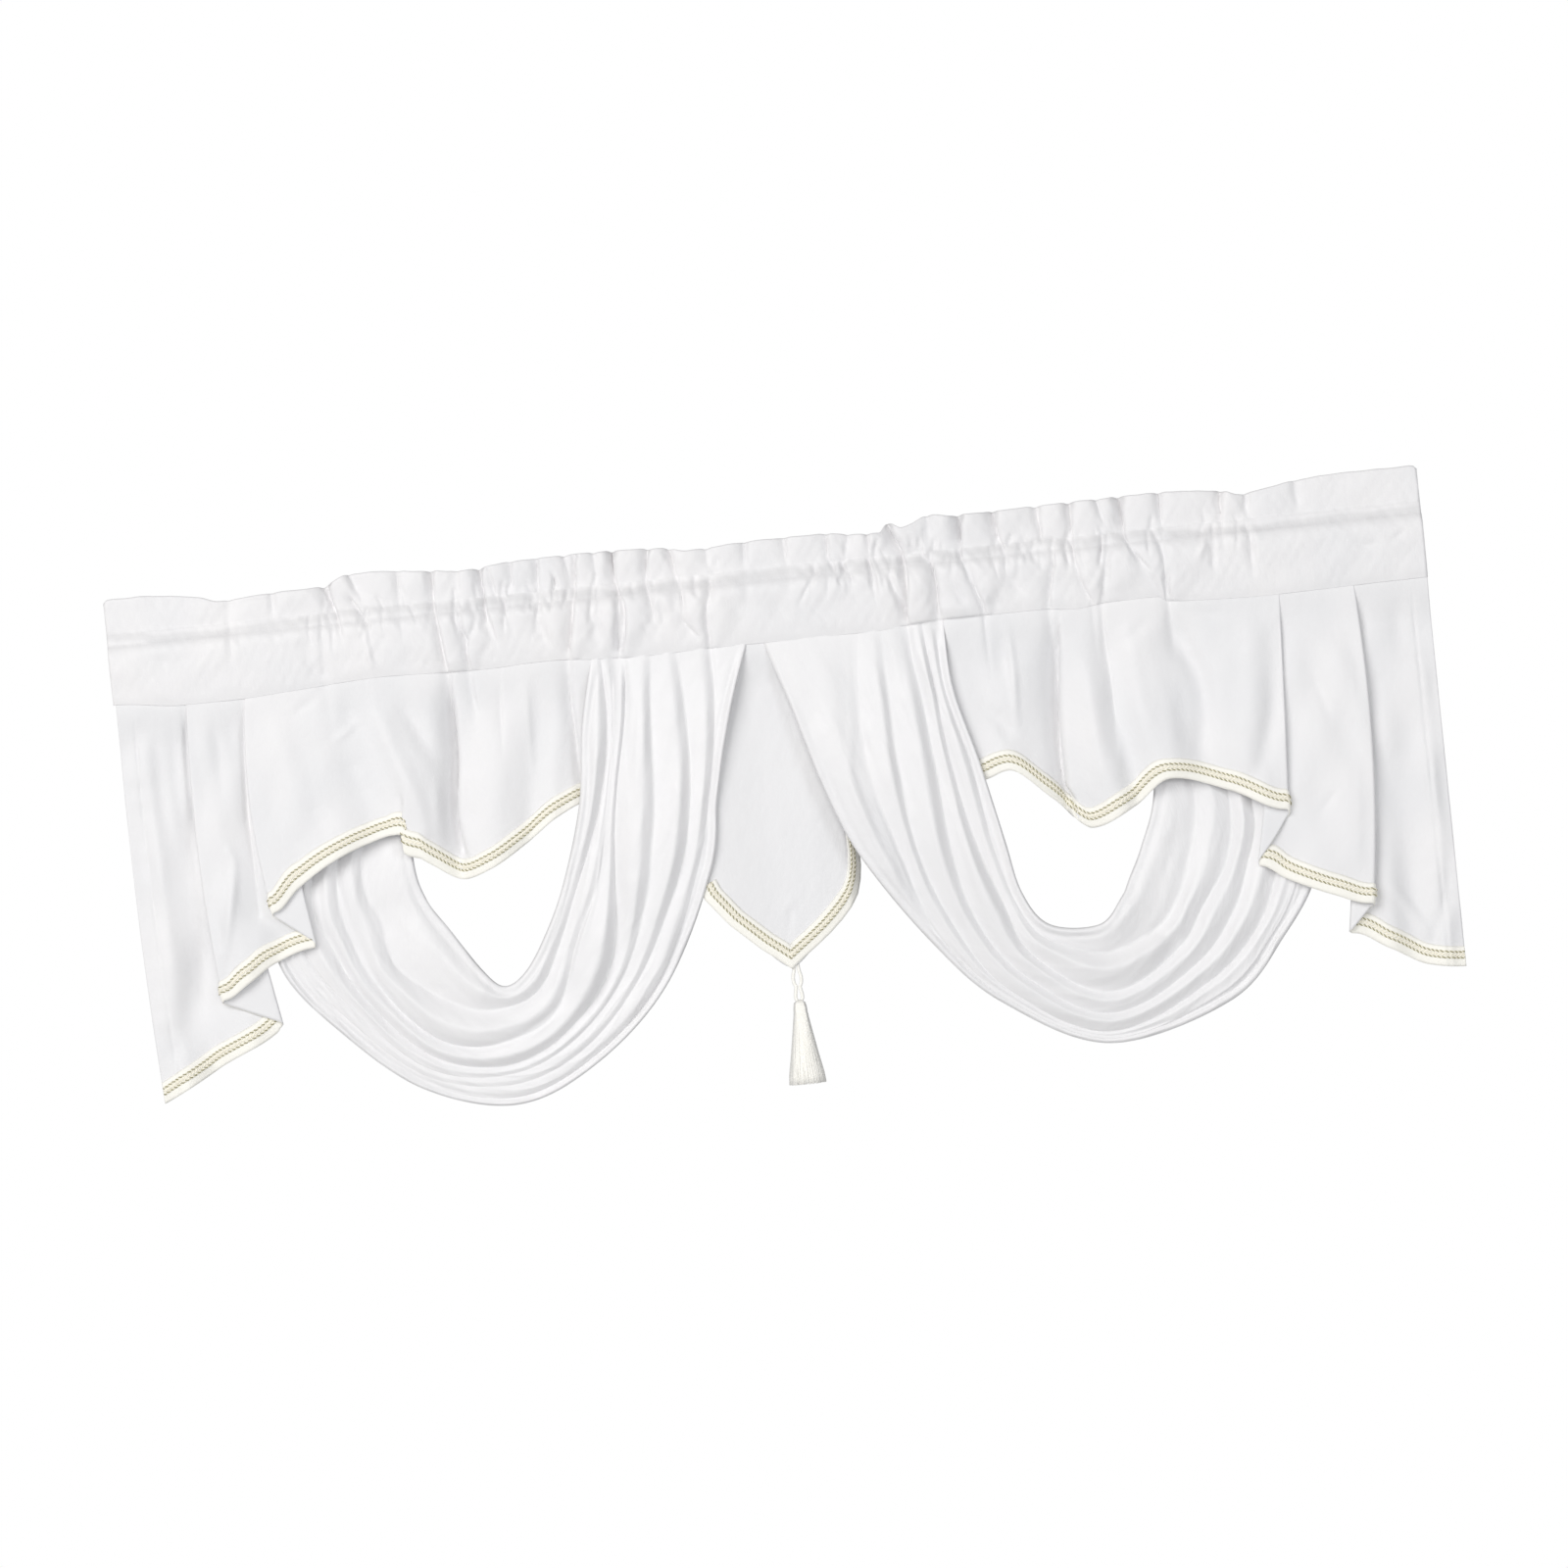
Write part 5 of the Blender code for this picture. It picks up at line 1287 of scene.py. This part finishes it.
BIAS_CUT = math.radians(45)
swag_cloth = satin("satin_swags", (0.85, 0.845, 0.85), (0.82, 0.818, 0.826), 0.42, BIAS_CUT)
LEFT_SWAG_SEED = 61
RIGHT_SWAG_SEED = 71
for hand, shape in {
    "left": (LEFT_SWAG, LEFT_VALLEYS, LEFT_RIDGES, LEFT_SWAG_CREASES, LEFT_SWAG_SEED),
    "right": (RIGHT_SWAG, RIGHT_VALLEYS, RIGHT_RIDGES, RIGHT_SWAG_CREASES, RIGHT_SWAG_SEED),
}.items():
    grid = swag_points(*shape)
    swag = cloth_from(
        "swag_cloth_" + hand, grid, lengths(grid, 0), lengths(grid, 1), SATIN_THICKNESS, swag_cloth,
    )
    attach(swag, "root")
    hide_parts("swag_" + hand)


# Centre pennant. A pointed cloth of the same satin with its dull side forward, hemmed at its edges
# and hung from the band's seam behind the two swags.
PENNANT_SEAM = (-94.0, 66.0)
PENNANT_FOOT = (-99.0, 68.0)
PENNANT_LINE = (
    (-99, -296), (-95, -314), (-71, -345), (-41, -373), (-12, -396), (17, -374), (43, -352),
    (62, -327), (68, -296),
)
PENNANT_Y = 3.6
PENNANT_DROP = 330.0
# The left side stands forward, close behind the swag, from this x over this width
LEFT_FORWARD = 10.0
FORWARD_FROM = -15.0
FORWARD_WIDTH = 75.0
# The right side curls back gently from one x, and its edge more sharply from another; each curl may
# go on past the edge by up to this many times its width
CURL_FROM = 20.0
CURL_BACK = 9.0
EDGE_FROM = 54.0
EDGE_BACK = 13.0
CURL_POWER = 1.5
CURL_LIMIT = 1.2
# Two slack folds run down the middle
SLACK_DEPTH = 1.1
SLACK_X = -30.0
SLACK_WIDTH = 17.0
# The cloth ends a little above the foot of its braid
UNDER_BRAID = 1.5
PENNANT_ACROSS = 80
PENNANT_DOWN = 110
PENNANT_CREASES = [Crease(*row) for row in (
    (((-16, -328), (-8, -340), (-10, -352), (-14, -366)), 1.0, 3.0, 0.2, 0.1),
    (((-2, -325), (-18, -340)), -0.7, 4.0, 0.2, 0.2),
)]


def pennant_y(x, z):
    """Depth of the pennant: two slack folds and a curled edge, which fade toward the seam."""
    down = np.clip((SEAM_Z - z) / PENNANT_DROP, 0, 1)
    edge = PENNANT_FOOT[1]
    curl = -LEFT_FORWARD * ease((FORWARD_FROM - x) / FORWARD_WIDTH)
    for start, back in ((CURL_FROM, CURL_BACK), (EDGE_FROM, EDGE_BACK)):
        curl = curl + back * np.clip((x - start) / (edge - start), 0, CURL_LIMIT) ** CURL_POWER
    slack_folds = SLACK_DEPTH * down * np.cos((x - SLACK_X) / SLACK_WIDTH)
    return PENNANT_Y - slack_folds + curl * ease(2 * down)


def pennant_points():
    share = np.linspace(0, 1, PENNANT_ACROSS + 1)[:, None]
    down = np.linspace(0, 1, PENNANT_DOWN + 1)[None, :]
    seam_x = mix(PENNANT_SEAM[0], PENNANT_SEAM[1], share)
    foot_x = mix(PENNANT_FOOT[0], PENNANT_FOOT[1], share)
    x = mix(seam_x, foot_x, down)
    z = mix(seam_z(seam_x) + TUCKED, through(PENNANT_LINE, foot_x) + UNDER_BRAID, down)
    y = pressed(x, pennant_y(x, z) + creased(x, z, PENNANT_CREASES)[0], z)
    return np.stack([x, y, z], axis=2)


pennant_cloth = satin("satin_pennant", (0.84, 0.838, 0.845), (0.82, 0.82, 0.83), 0.6)
pennant_grid = pennant_points()
pennant = cloth_from(
    "pennant", pennant_grid, lengths(pennant_grid, 0), lengths(pennant_grid, 1), SATIN_THICKNESS,
    pennant_cloth,
)
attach(pennant, "root")
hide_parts("centre_pennant")


# Gimp braid. A cream woven tape with a rib across it. Two fine cords of a dark gold ply twisted with a
# pale one run along its middle, on both sides of a plaited cream cord. The braid is sewn along the
# foot of each side panel and round the foot of the pennant.
BRAID_OVERHANG = 0.6
TAPE_LIFT = 0.75
TAPE_DOME = 0.9
TAPE_ACROSS = 8
TAPE_THICKNESS = 0.8
TAPE_STEP = 1.2
# The twisted cords and the middle of the plait, as shares of the tape's width from its foot
TWIST_ROWS = (0.43, 0.72)
# The twist's length, how far each ply runs round its middle, how thick it is, how high it is sewn,
# and how far the second cord's twist is ahead of the first one's, in half turns
TWIST_PITCH = 4.7
TWIST_REACH = 0.55
TWIST_RADIUS = 0.62
TWIST_LIFT = 0.65
TWIST_AHEAD = 0.6
PLAIT_MIDDLE = 0.575
PLAIT_PITCH = 7.4
PLAIT_SWAY = 0.042
PLAIT_RADIUS = 0.8
PLAIT_LIFT = 0.35
CORD_STEP = 0.85
CORD_SIDES = 6
# The cords end this far before the ends of the tape
CORD_SHORT = 0.4
# Relief of the threads and of the tape's ribs, in millimetres; how close the ribs lie, how much they
# wander and how strongly they show; and the noise that spans the tones of a thread
THREAD_RELIEF = 0.12
RIB_RELIEF = 0.15
RIB_SCALE = 0.24
RIB_WANDER = 0.6
RIB_STRENGTH = 0.8
PLY_SPAN = (0.35, 0.65)


def thread_material(name, pale, deep, roughness, grain, sheen, metallic=0.0):
    """Yarn or metal thread: its tone and relief vary at the scale of its plies, in millimetres."""
    material, tree, shader = new_material(name, pale, roughness, sheen)
    shader.inputs["Metallic"].default_value = metallic
    place = add_node(tree, "ShaderNodeTexCoord")
    stretch = add_node(tree, "ShaderNodeVectorMath", operation="SCALE")
    stretch.inputs["Scale"].default_value = 1 / MM
    tree.links.new(place.outputs["Object"], stretch.inputs[0])
    plies = noise_on(tree, stretch.outputs["Vector"], (grain, grain), 2.0)
    tree.links.new(blended(tree, plies, *PLY_SPAN, deep, pale), shader.inputs["Base Color"])
    raise_surface(tree, shader, plies, THREAD_RELIEF)
    return material


def tape_material():
    """Cream rayon woven with a rib across the tape."""
    material, tree, shader = new_material("braid_cream", (0.96, 0.945, 0.88), 0.55, 0.3)
    place = add_node(tree, "ShaderNodeAttribute", attribute_name="cloth_mm")
    ribs = add_node(tree, "ShaderNodeTexWave", wave_type="BANDS", bands_direction="X")
    ribs.inputs["Scale"].default_value = RIB_SCALE
    ribs.inputs["Distortion"].default_value = RIB_WANDER
    tree.links.new(place.outputs["Vector"], ribs.inputs["Vector"])
    rib = ribs.outputs["Fac"]
    colour = blended(tree, rib, 0.0, 1.0, (0.95, 0.93, 0.85), (0.98, 0.97, 0.92))
    tree.links.new(colour, shader.inputs["Base Color"])
    raise_surface(tree, shader, rib, RIB_RELIEF, RIB_STRENGTH)
    return material


def steps_along(points, step):
    """Even stops along a line of points, and how far along it each of its points is."""
    run = np.concatenate([[0.0], np.cumsum(np.linalg.norm(np.diff(points, axis=0), axis=1))])
    stops = np.linspace(0, run[-1], max(2, round(run[-1] / step) + 1))
    return stops, run


class Tape:
    """The face of a braid: its foot, its head and its outward direction at even steps of length, and
    the depth of the cloth under it where that bends across the braid."""

    def __init__(self, heads, feet, outward, depth=None):
        stops, run = steps_along((heads + feet) / 2, TAPE_STEP)
        self.length = run[-1]
        self.stops = stops
        self.run = run
        self.heads = heads
        self.feet = feet
        self.outward = outward
        self.depth = depth

    def read(self, line, s):
        return np.stack([np.interp(s, self.run, line[:, k]) for k in range(3)], axis=-1)

    def face(self, s, a, lift=0.0):
        """The point at length s and share a of the width, lifted off the tape."""
        foot = self.read(self.feet, s)
        head = self.read(self.heads, s)
        out = self.read(self.outward, s)
        out = out / np.linalg.norm(out, axis=-1, keepdims=True)
        dome = TAPE_LIFT + TAPE_DOME * np.sin(np.pi * np.clip(a, 0, 1)) + lift
        a = np.expand_dims(a, -1) if np.ndim(a) else a
        dome = np.expand_dims(dome, -1) if np.ndim(dome) else dome
        point = mix(foot, head, a)
        if self.depth is not None:
            point[..., 1] = self.depth(point[..., 0], point[..., 2])
        return point + out * dome


def panel_tape(grid):
    """The strip at a panel's foot, whose right side faces out on a tier and back on a return."""
    heads = grid[:, -1 - STRIP_STEPS, :]
    feet = grid[:, -1, :]
    feet = feet + (feet - heads) / np.linalg.norm(feet - heads, axis=1, keepdims=True) * BRAID_OVERHANG
    outward = np.zeros_like(feet)
    for line in (heads, feet):
        along = np.diff(line, axis=0)
        along = np.concatenate([along[:1], along, along[-1:]])
        for part in (along[:-1], along[1:]):
            flat = np.stack([part[:, 1], -part[:, 0], 0 * part[:, 0]], axis=1)
            outward += flat / np.linalg.norm(flat, axis=1, keepdims=True)
    return Tape(heads, feet, outward / np.linalg.norm(outward, axis=1, keepdims=True))


# The path of the pennant's braid, round its foot from one side edge to the other: x, z, and the
# share of its width that is seen where the cloth curls back
PENNANT_BRAID = (
    (-98, -305, 1), (-93, -317, 1), (-82, -331, 1), (-71, -345, 1), (-56, -359, 1), (-41, -373, 1),
    (-26, -384.5, 1), (-12, -396.0, 1), (2, -385, 1), (17, -374, 1), (31, -363, 1), (43, -352, 1),
    (54, -340, 0.98), (62, -327, 0.88), (66, -313, 0.75), (68, -298, 0.65), (68, -282, 0.58),
    (67, -264, 0.55),
)
STRAIGHTEST_MITRE = 0.6


def pennant_tape():
    path = np.array([(x, 0.0, z) for x, z, _ in PENNANT_BRAID])
    seen = np.array([[share] for _, _, share in PENNANT_BRAID])
    along = np.diff(path, axis=0)
    along /= np.linalg.norm(along, axis=1, keepdims=True)
    ahead = np.concatenate([along, along[-1:]])
    behind = np.concatenate([along[:1], along])
    middle = ahead + behind
    middle /= np.linalg.norm(middle, axis=1, keepdims=True)
    inward = np.stack([-middle[:, 2], 0 * middle[:, 0], middle[:, 0]], axis=1)
    mitre = 1 / np.maximum(STRAIGHTEST_MITRE, (middle * ahead).sum(axis=1, keepdims=True))
    feet = path - inward * mitre * BRAID_OVERHANG
    heads = path + inward * mitre * (BRAID_WIDTH * seen - BRAID_OVERHANG)
    for line in (feet, heads):
        line[:, 1] = pennant_y(line[:, 0], line[:, 2])
    return Tape(heads, feet, np.tile((0.0, -1.0, 0.0), (len(path), 1)), pennant_y)


def tape_mesh(name, tape, material):
    s = tape.stops[:, None] + np.zeros((1, TAPE_ACROSS + 1))
    a = 1 - np.arange(TAPE_ACROSS + 1)[None, :] / TAPE_ACROSS + 0 * s
    points = tape.face(s, a)
    return cloth_from(name, points, s, a * BRAID_WIDTH, TAPE_THICKNESS, material)


def cord_mesh(name, lines, radius, sides, material):
    """Round cords along lines of points, in millimetres, as closed tubes in one mesh. The radius is
    one number, or several at even steps from start to end."""
    bm = bmesh.new()
    for line in lines:
        line = np.asarray(line, float)
        count = len(line)
        along = np.gradient(line, axis=0)
        along /= np.linalg.norm(along, axis=1, keepdims=True)
        side = np.cross(along, (0.0, 1.0, 0.0))
        side /= np.maximum(np.linalg.norm(side, axis=1, keepdims=True), 1e-6)
        front = np.cross(side, along)
        given = np.atleast_1d(radius)
        width = np.interp(np.linspace(0, 1, count), np.linspace(0, 1, len(given)), given)
        rings = []
        for k in range(count):
            ring = []
            for n in range(sides):
                angle = math.tau * n / sides
                offset = side[k] * math.cos(angle) + front[k] * math.sin(angle)
                ring.append(bm.verts.new((line[k] + offset * width[k]) * MM))
            rings.append(ring)
        for ring, following in zip(rings, rings[1:]):
            for n in range(sides):
                m = (n + 1) % sides
                bm.faces.new((ring[n], ring[m], following[m], following[n]))
        bm.faces.new(rings[0][::-1])
        bm.faces.new(rings[-1])
    bmesh.ops.recalc_face_normals(bm, faces=bm.faces)
    mesh = bpy.data.meshes.new(name)
    bm.to_mesh(mesh)
    bm.free()
    return piece_from(name, mesh, material)


def cord_stops(tape):
    return np.linspace(CORD_SHORT, tape.length - CORD_SHORT, round(tape.length / CORD_STEP))


def twist_lines(tape, ply):
    """One ply (0 or 1) of both twisted cords."""
    s = cord_stops(tape)
    lines = []
    for row, share in enumerate(TWIST_ROWS):
        turn = math.tau * s / TWIST_PITCH + math.pi * (ply + TWIST_AHEAD * row)
        up = share + TWIST_REACH / BRAID_WIDTH * np.cos(turn)
        lines.append(tape.face(s, up, TWIST_LIFT + TWIST_REACH * np.sin(turn)))
    return lines


def plait_lines(tape):
    """Two cords that cross over and under each other along the tape."""
    s = cord_stops(tape)
    turn = math.tau * s / PLAIT_PITCH
    lines = []
    for side in (1, -1):
        share = PLAIT_MIDDLE + side * PLAIT_SWAY * np.sin(turn)
        lines.append(tape.face(s, share, PLAIT_LIFT * (1 + side * np.cos(turn))))
    return lines


tape_cream = tape_material()
dark_gold = thread_material(
    "braid_dark_gold", (0.46, 0.43, 0.27), (0.28, 0.26, 0.14), 0.42, 0.8, 0.0, 0.05,
)
pale_gold = thread_material("braid_pale_gold", (0.95, 0.92, 0.8), (0.9, 0.855, 0.69), 0.4, 0.9, 0.0)
plait_cream = thread_material("braid_plait", (0.97, 0.94, 0.84), (0.92, 0.875, 0.73), 0.42, 0.9, 0.0)


def sew_braid(hand, tape, node):
    """One run of braid: its tape, its twisted cords and its plait."""
    parts = [
        tape_mesh("braid_tape_" + hand, tape, tape_cream),
        cord_mesh("braid_dark_ply_" + hand, twist_lines(tape, 0), TWIST_RADIUS, CORD_SIDES, dark_gold),
        cord_mesh("braid_pale_ply_" + hand, twist_lines(tape, 1), TWIST_RADIUS, CORD_SIDES, pale_gold),
        cord_mesh("braid_plait_" + hand, plait_lines(tape), PLAIT_RADIUS, CORD_SIDES, plait_cream),
    ]
    for part in parts:
        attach(part, "root")
    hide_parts(node)
    return parts


tapes = {hand: panel_tape(grid) for hand, grid in panel_grids.items()}
tapes["pennant"] = pennant_tape()
braids = {hand: sew_braid(hand, tape, "trim_" + hand) for hand, tape in tapes.items()}


# Tassel. Cream viscose strands are laid over a cord loop, bound below the fold and cut at the foot.
# The loop makes a small ring under the pennant's tip, and its two legs run into the tassel's head.
TASSEL_X = -8.0
TASSEL_Y = 5.6
TASSEL_TOP = -429.0
TASSEL_FOOT = -515.0
LOOP_OUTLINE = (
    (0.0, -386.0), (1.8, -389.0), (2.1, -394.0), (2.6, -399.0), (3.8, -403.5), (4.1, -408.0),
    (3.5, -412.0), (2.0, -415.5), (2.7, -419.5), (3.4, -423.5), (3.4, -427.0), (2.0, -430.0),
)
LOOP_STEPS = 80
LOOP_RADIUS = 1.8
LOOP_SIDES = 8
# The loop leans a little out of its plane, by this share of its half width
LOOP_LEAN = 0.3 / 3.6
# The skirt's outline: depth under the top, radius
SKIRT = ((0, 2.2), (1.5, 4.6), (5, 6.3), (11, 6.6), (16, 7.2), (30, 9.4), (55, 13.6), (86, 18.4))
# The strands lie in layers round a packed core, each on a share of the outline's radius
CORE_SHARE = 0.985
CORE_FOOT = 0.965
CORE_STEPS = 24
LAYERS = ((0.3, 14), (0.6, 26), (0.82, 40), (0.95, 95), (1.0, 170))
STRAND_WIDTHS = (0.45, 0.6, 0.75)
STRAND_POINTS = 14
STRAND_SIDES = 4
# The points of a strand lie closer together toward its top, by this power
STRAND_CROWDING = 1.3
# The least cut length of a strand, as a share of the full one, how far it may lie out of its even
# place in the layer, and how far it sways round and wanders sideways on its way down
SHORTEST_CUT = 0.975
STRAND_SHIFT = 0.3
STRAND_SWAY = 0.05
STRAND_WANDER = 0.9
WANDER_TURNS = (0.6, 1.6)
TASSEL_SEED = 5
# The binding: its turns, how far under the top the highest one starts, their pitch and radius, and
# the thread's thickness
BINDING_TURNS = 4
BINDING_DEPTH = 11.5
BINDING_PITCH = 0.75
BINDING_RADIUS = 6.7
BINDING_THICKNESS = 0.42
BINDING_STEPS = 33

silk = thread_material("tassel_silk", (0.995, 0.985, 0.94), (0.97, 0.95, 0.88), 0.42, 1.4, 0.9)


def loop_line():
    """Up the left leg of the loop, over its top and down the right leg."""
    t = np.linspace(0, len(LOOP_OUTLINE) - 1, LOOP_STEPS // 2)
    half = between([half for half, _ in LOOP_OUTLINE], t)
    z = between([z for _, z in LOOP_OUTLINE], t)
    right_leg = np.stack([TASSEL_X + half, TASSEL_Y - LOOP_LEAN * half, z], axis=1)
    left_leg = np.stack([TASSEL_X - half, TASSEL_Y + LOOP_LEAN * half, z], axis=1)
    return np.concatenate([left_leg[::-1], right_leg[1:]])


def strand_lines():
    """Strands that start under the head's crown, follow the skirt's outline and hang to its foot."""
    rng = np.random.default_rng(TASSEL_SEED)
    lines = []
    for share, count in LAYERS:
        for n in range(count):
            angle = math.tau * (n + rng.uniform(-STRAND_SHIFT, STRAND_SHIFT)) / count
            cut = (TASSEL_TOP - TASSEL_FOOT) * rng.uniform(SHORTEST_CUT, 1.0)
            depth = cut * np.linspace(0, 1, STRAND_POINTS) ** STRAND_CROWDING
            radius = share * through(SKIRT, depth)
            sway = rng.uniform(-STRAND_SWAY, STRAND_SWAY)
            wander = rng.uniform(-STRAND_WANDER, STRAND_WANDER)
            wander = wander * np.sin(math.pi * depth / cut * rng.uniform(*WANDER_TURNS))
            turn = angle + sway * (depth / cut) ** 2
            lines.append(np.stack([
                TASSEL_X + radius * np.cos(turn) + wander * np.sin(turn) * depth / cut,
                TASSEL_Y + radius * np.sin(turn),
                TASSEL_TOP - depth,
            ], axis=1))
    return lines


loop = cord_mesh("tassel_cord", [loop_line()], LOOP_RADIUS, LOOP_SIDES, silk)
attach(loop, "root")
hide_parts("tassel_loop")

core_depth = np.linspace(1.0, CORE_FOOT * (TASSEL_TOP - TASSEL_FOOT), CORE_STEPS)
core_line = [(TASSEL_X, TASSEL_Y, TASSEL_TOP - depth) for depth in core_depth]
core_radius = CORE_SHARE * through(SKIRT, core_depth)
core = cord_mesh("tassel_core", [core_line], core_radius, CORE_STEPS, silk)
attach(core, "root")

skirt = cord_mesh("tassel_skirt", strand_lines(), STRAND_WIDTHS, STRAND_SIDES, silk)
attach(skirt, "root")
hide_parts("tassel")

binding_lines = []
angle = np.linspace(0, math.tau, BINDING_STEPS)
for turn in range(BINDING_TURNS):
    binding_lines.append(np.stack([
        TASSEL_X + BINDING_RADIUS * np.cos(angle),
        TASSEL_Y + BINDING_RADIUS * np.sin(angle),
        TASSEL_TOP - BINDING_DEPTH - BINDING_PITCH * (turn - angle / math.tau),
    ], axis=1))
binding = cord_mesh("tassel_binding", binding_lines, BINDING_THICKNESS, CORD_SIDES, silk)
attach(binding, "root")


# The room. A plain pale floor lies far below the hanging, and the surround is white where it is seen
# and lights the cloth only a little; three soft boxes give the rest of the light.
FLOOR_Z = -1600.0
FLOOR_HALF = 4500.0
floor_mesh = bpy.data.meshes.new("floor")
bm = bmesh.new()
bmesh.ops.create_grid(bm, x_segments=1, y_segments=1, size=FLOOR_HALF * MM)
bmesh.ops.translate(bm, vec=(0, 0, FLOOR_Z * MM), verts=bm.verts)
bm.to_mesh(floor_mesh)
bm.free()
floor_paint = new_material("floor_paint", (0.86, 0.86, 0.86), 0.8, 0.0)[0]
floor = piece_from("floor", floor_mesh, floor_paint)

SURROUND_SEEN = 1.0
SURROUND_LIGHT = 0.25
world = bpy.data.worlds.new("studio")
bpy.context.scene.world = world
world.use_nodes = True
world_tree = world.node_tree
seen = world_tree.nodes["Background"]
seen.inputs["Color"].default_value = (1.0, 1.0, 1.0, 1.0)
rays = add_node(world_tree, "ShaderNodeLightPath")
strength = add_node(world_tree, "ShaderNodeMapRange")
strength.inputs["To Min"].default_value = SURROUND_LIGHT
strength.inputs["To Max"].default_value = SURROUND_SEEN
world_tree.links.new(rays.outputs["Is Camera Ray"], strength.inputs["Value"])
world_tree.links.new(strength.outputs["Result"], seen.inputs["Strength"])

# The soft boxes: where each stands and its size in metres, its power in watts, and its colour
SoftBox = namedtuple("SoftBox", "name place size power colour")
AIM = Vector((0.0, 0.0, -0.2))
for box in [SoftBox(*row) for row in (
    ("key", (-3.8, -6.0, 2.9), 5.2, 368.0, (1.0, 0.99, 0.985)),
    ("front", (0.8, -8.4, 0.6), 2.6, 112.0, (1.0, 0.99, 0.985)),
    ("side", (4.2, -4.6, 0.6), 2.0, 48.0, (0.93, 0.96, 1.0)),
)]:
    lamp = bpy.data.lights.new(box.name, "AREA")
    lamp.shape = "SQUARE"
    lamp.size = box.size
    lamp.energy = box.power
    lamp.color = box.colour
    holder = bpy.data.objects.new(box.name, lamp)
    holder.location = box.place
    holder.rotation_euler = (AIM - Vector(box.place)).to_track_quat("-Z", "Y").to_euler()
    bpy.context.scene.collection.objects.link(holder)

# The camera looks straight at the valance with a long lens and is turned a little about its line of
# sight, so that the right end stands higher in the picture.
PICTURE_TILT = math.radians(5.8376)
CAMERA_DISTANCE = 8.0
PICTURE_WIDTH = 1.6
CAMERA_AIM = Vector((-0.0012, 0.0, -0.208))
camera_data = bpy.data.cameras.new("camera")
camera_data.sensor_width = 36.0
camera_data.lens = camera_data.sensor_width * CAMERA_DISTANCE / PICTURE_WIDTH
camera = bpy.data.objects.new("camera", camera_data)
right = Vector((math.cos(PICTURE_TILT), 0.0, -math.sin(PICTURE_TILT)))
up = Vector((math.sin(PICTURE_TILT), 0.0, math.cos(PICTURE_TILT)))
back = Vector((0.0, -1.0, 0.0))
camera.matrix_world = Matrix.LocRotScale(
    CAMERA_AIM + back * CAMERA_DISTANCE, Matrix((right, up, back)).transposed(), None,
)
bpy.context.scene.collection.objects.link(camera)
bpy.context.scene.camera = camera
bpy.context.scene.view_settings.view_transform = "Standard"
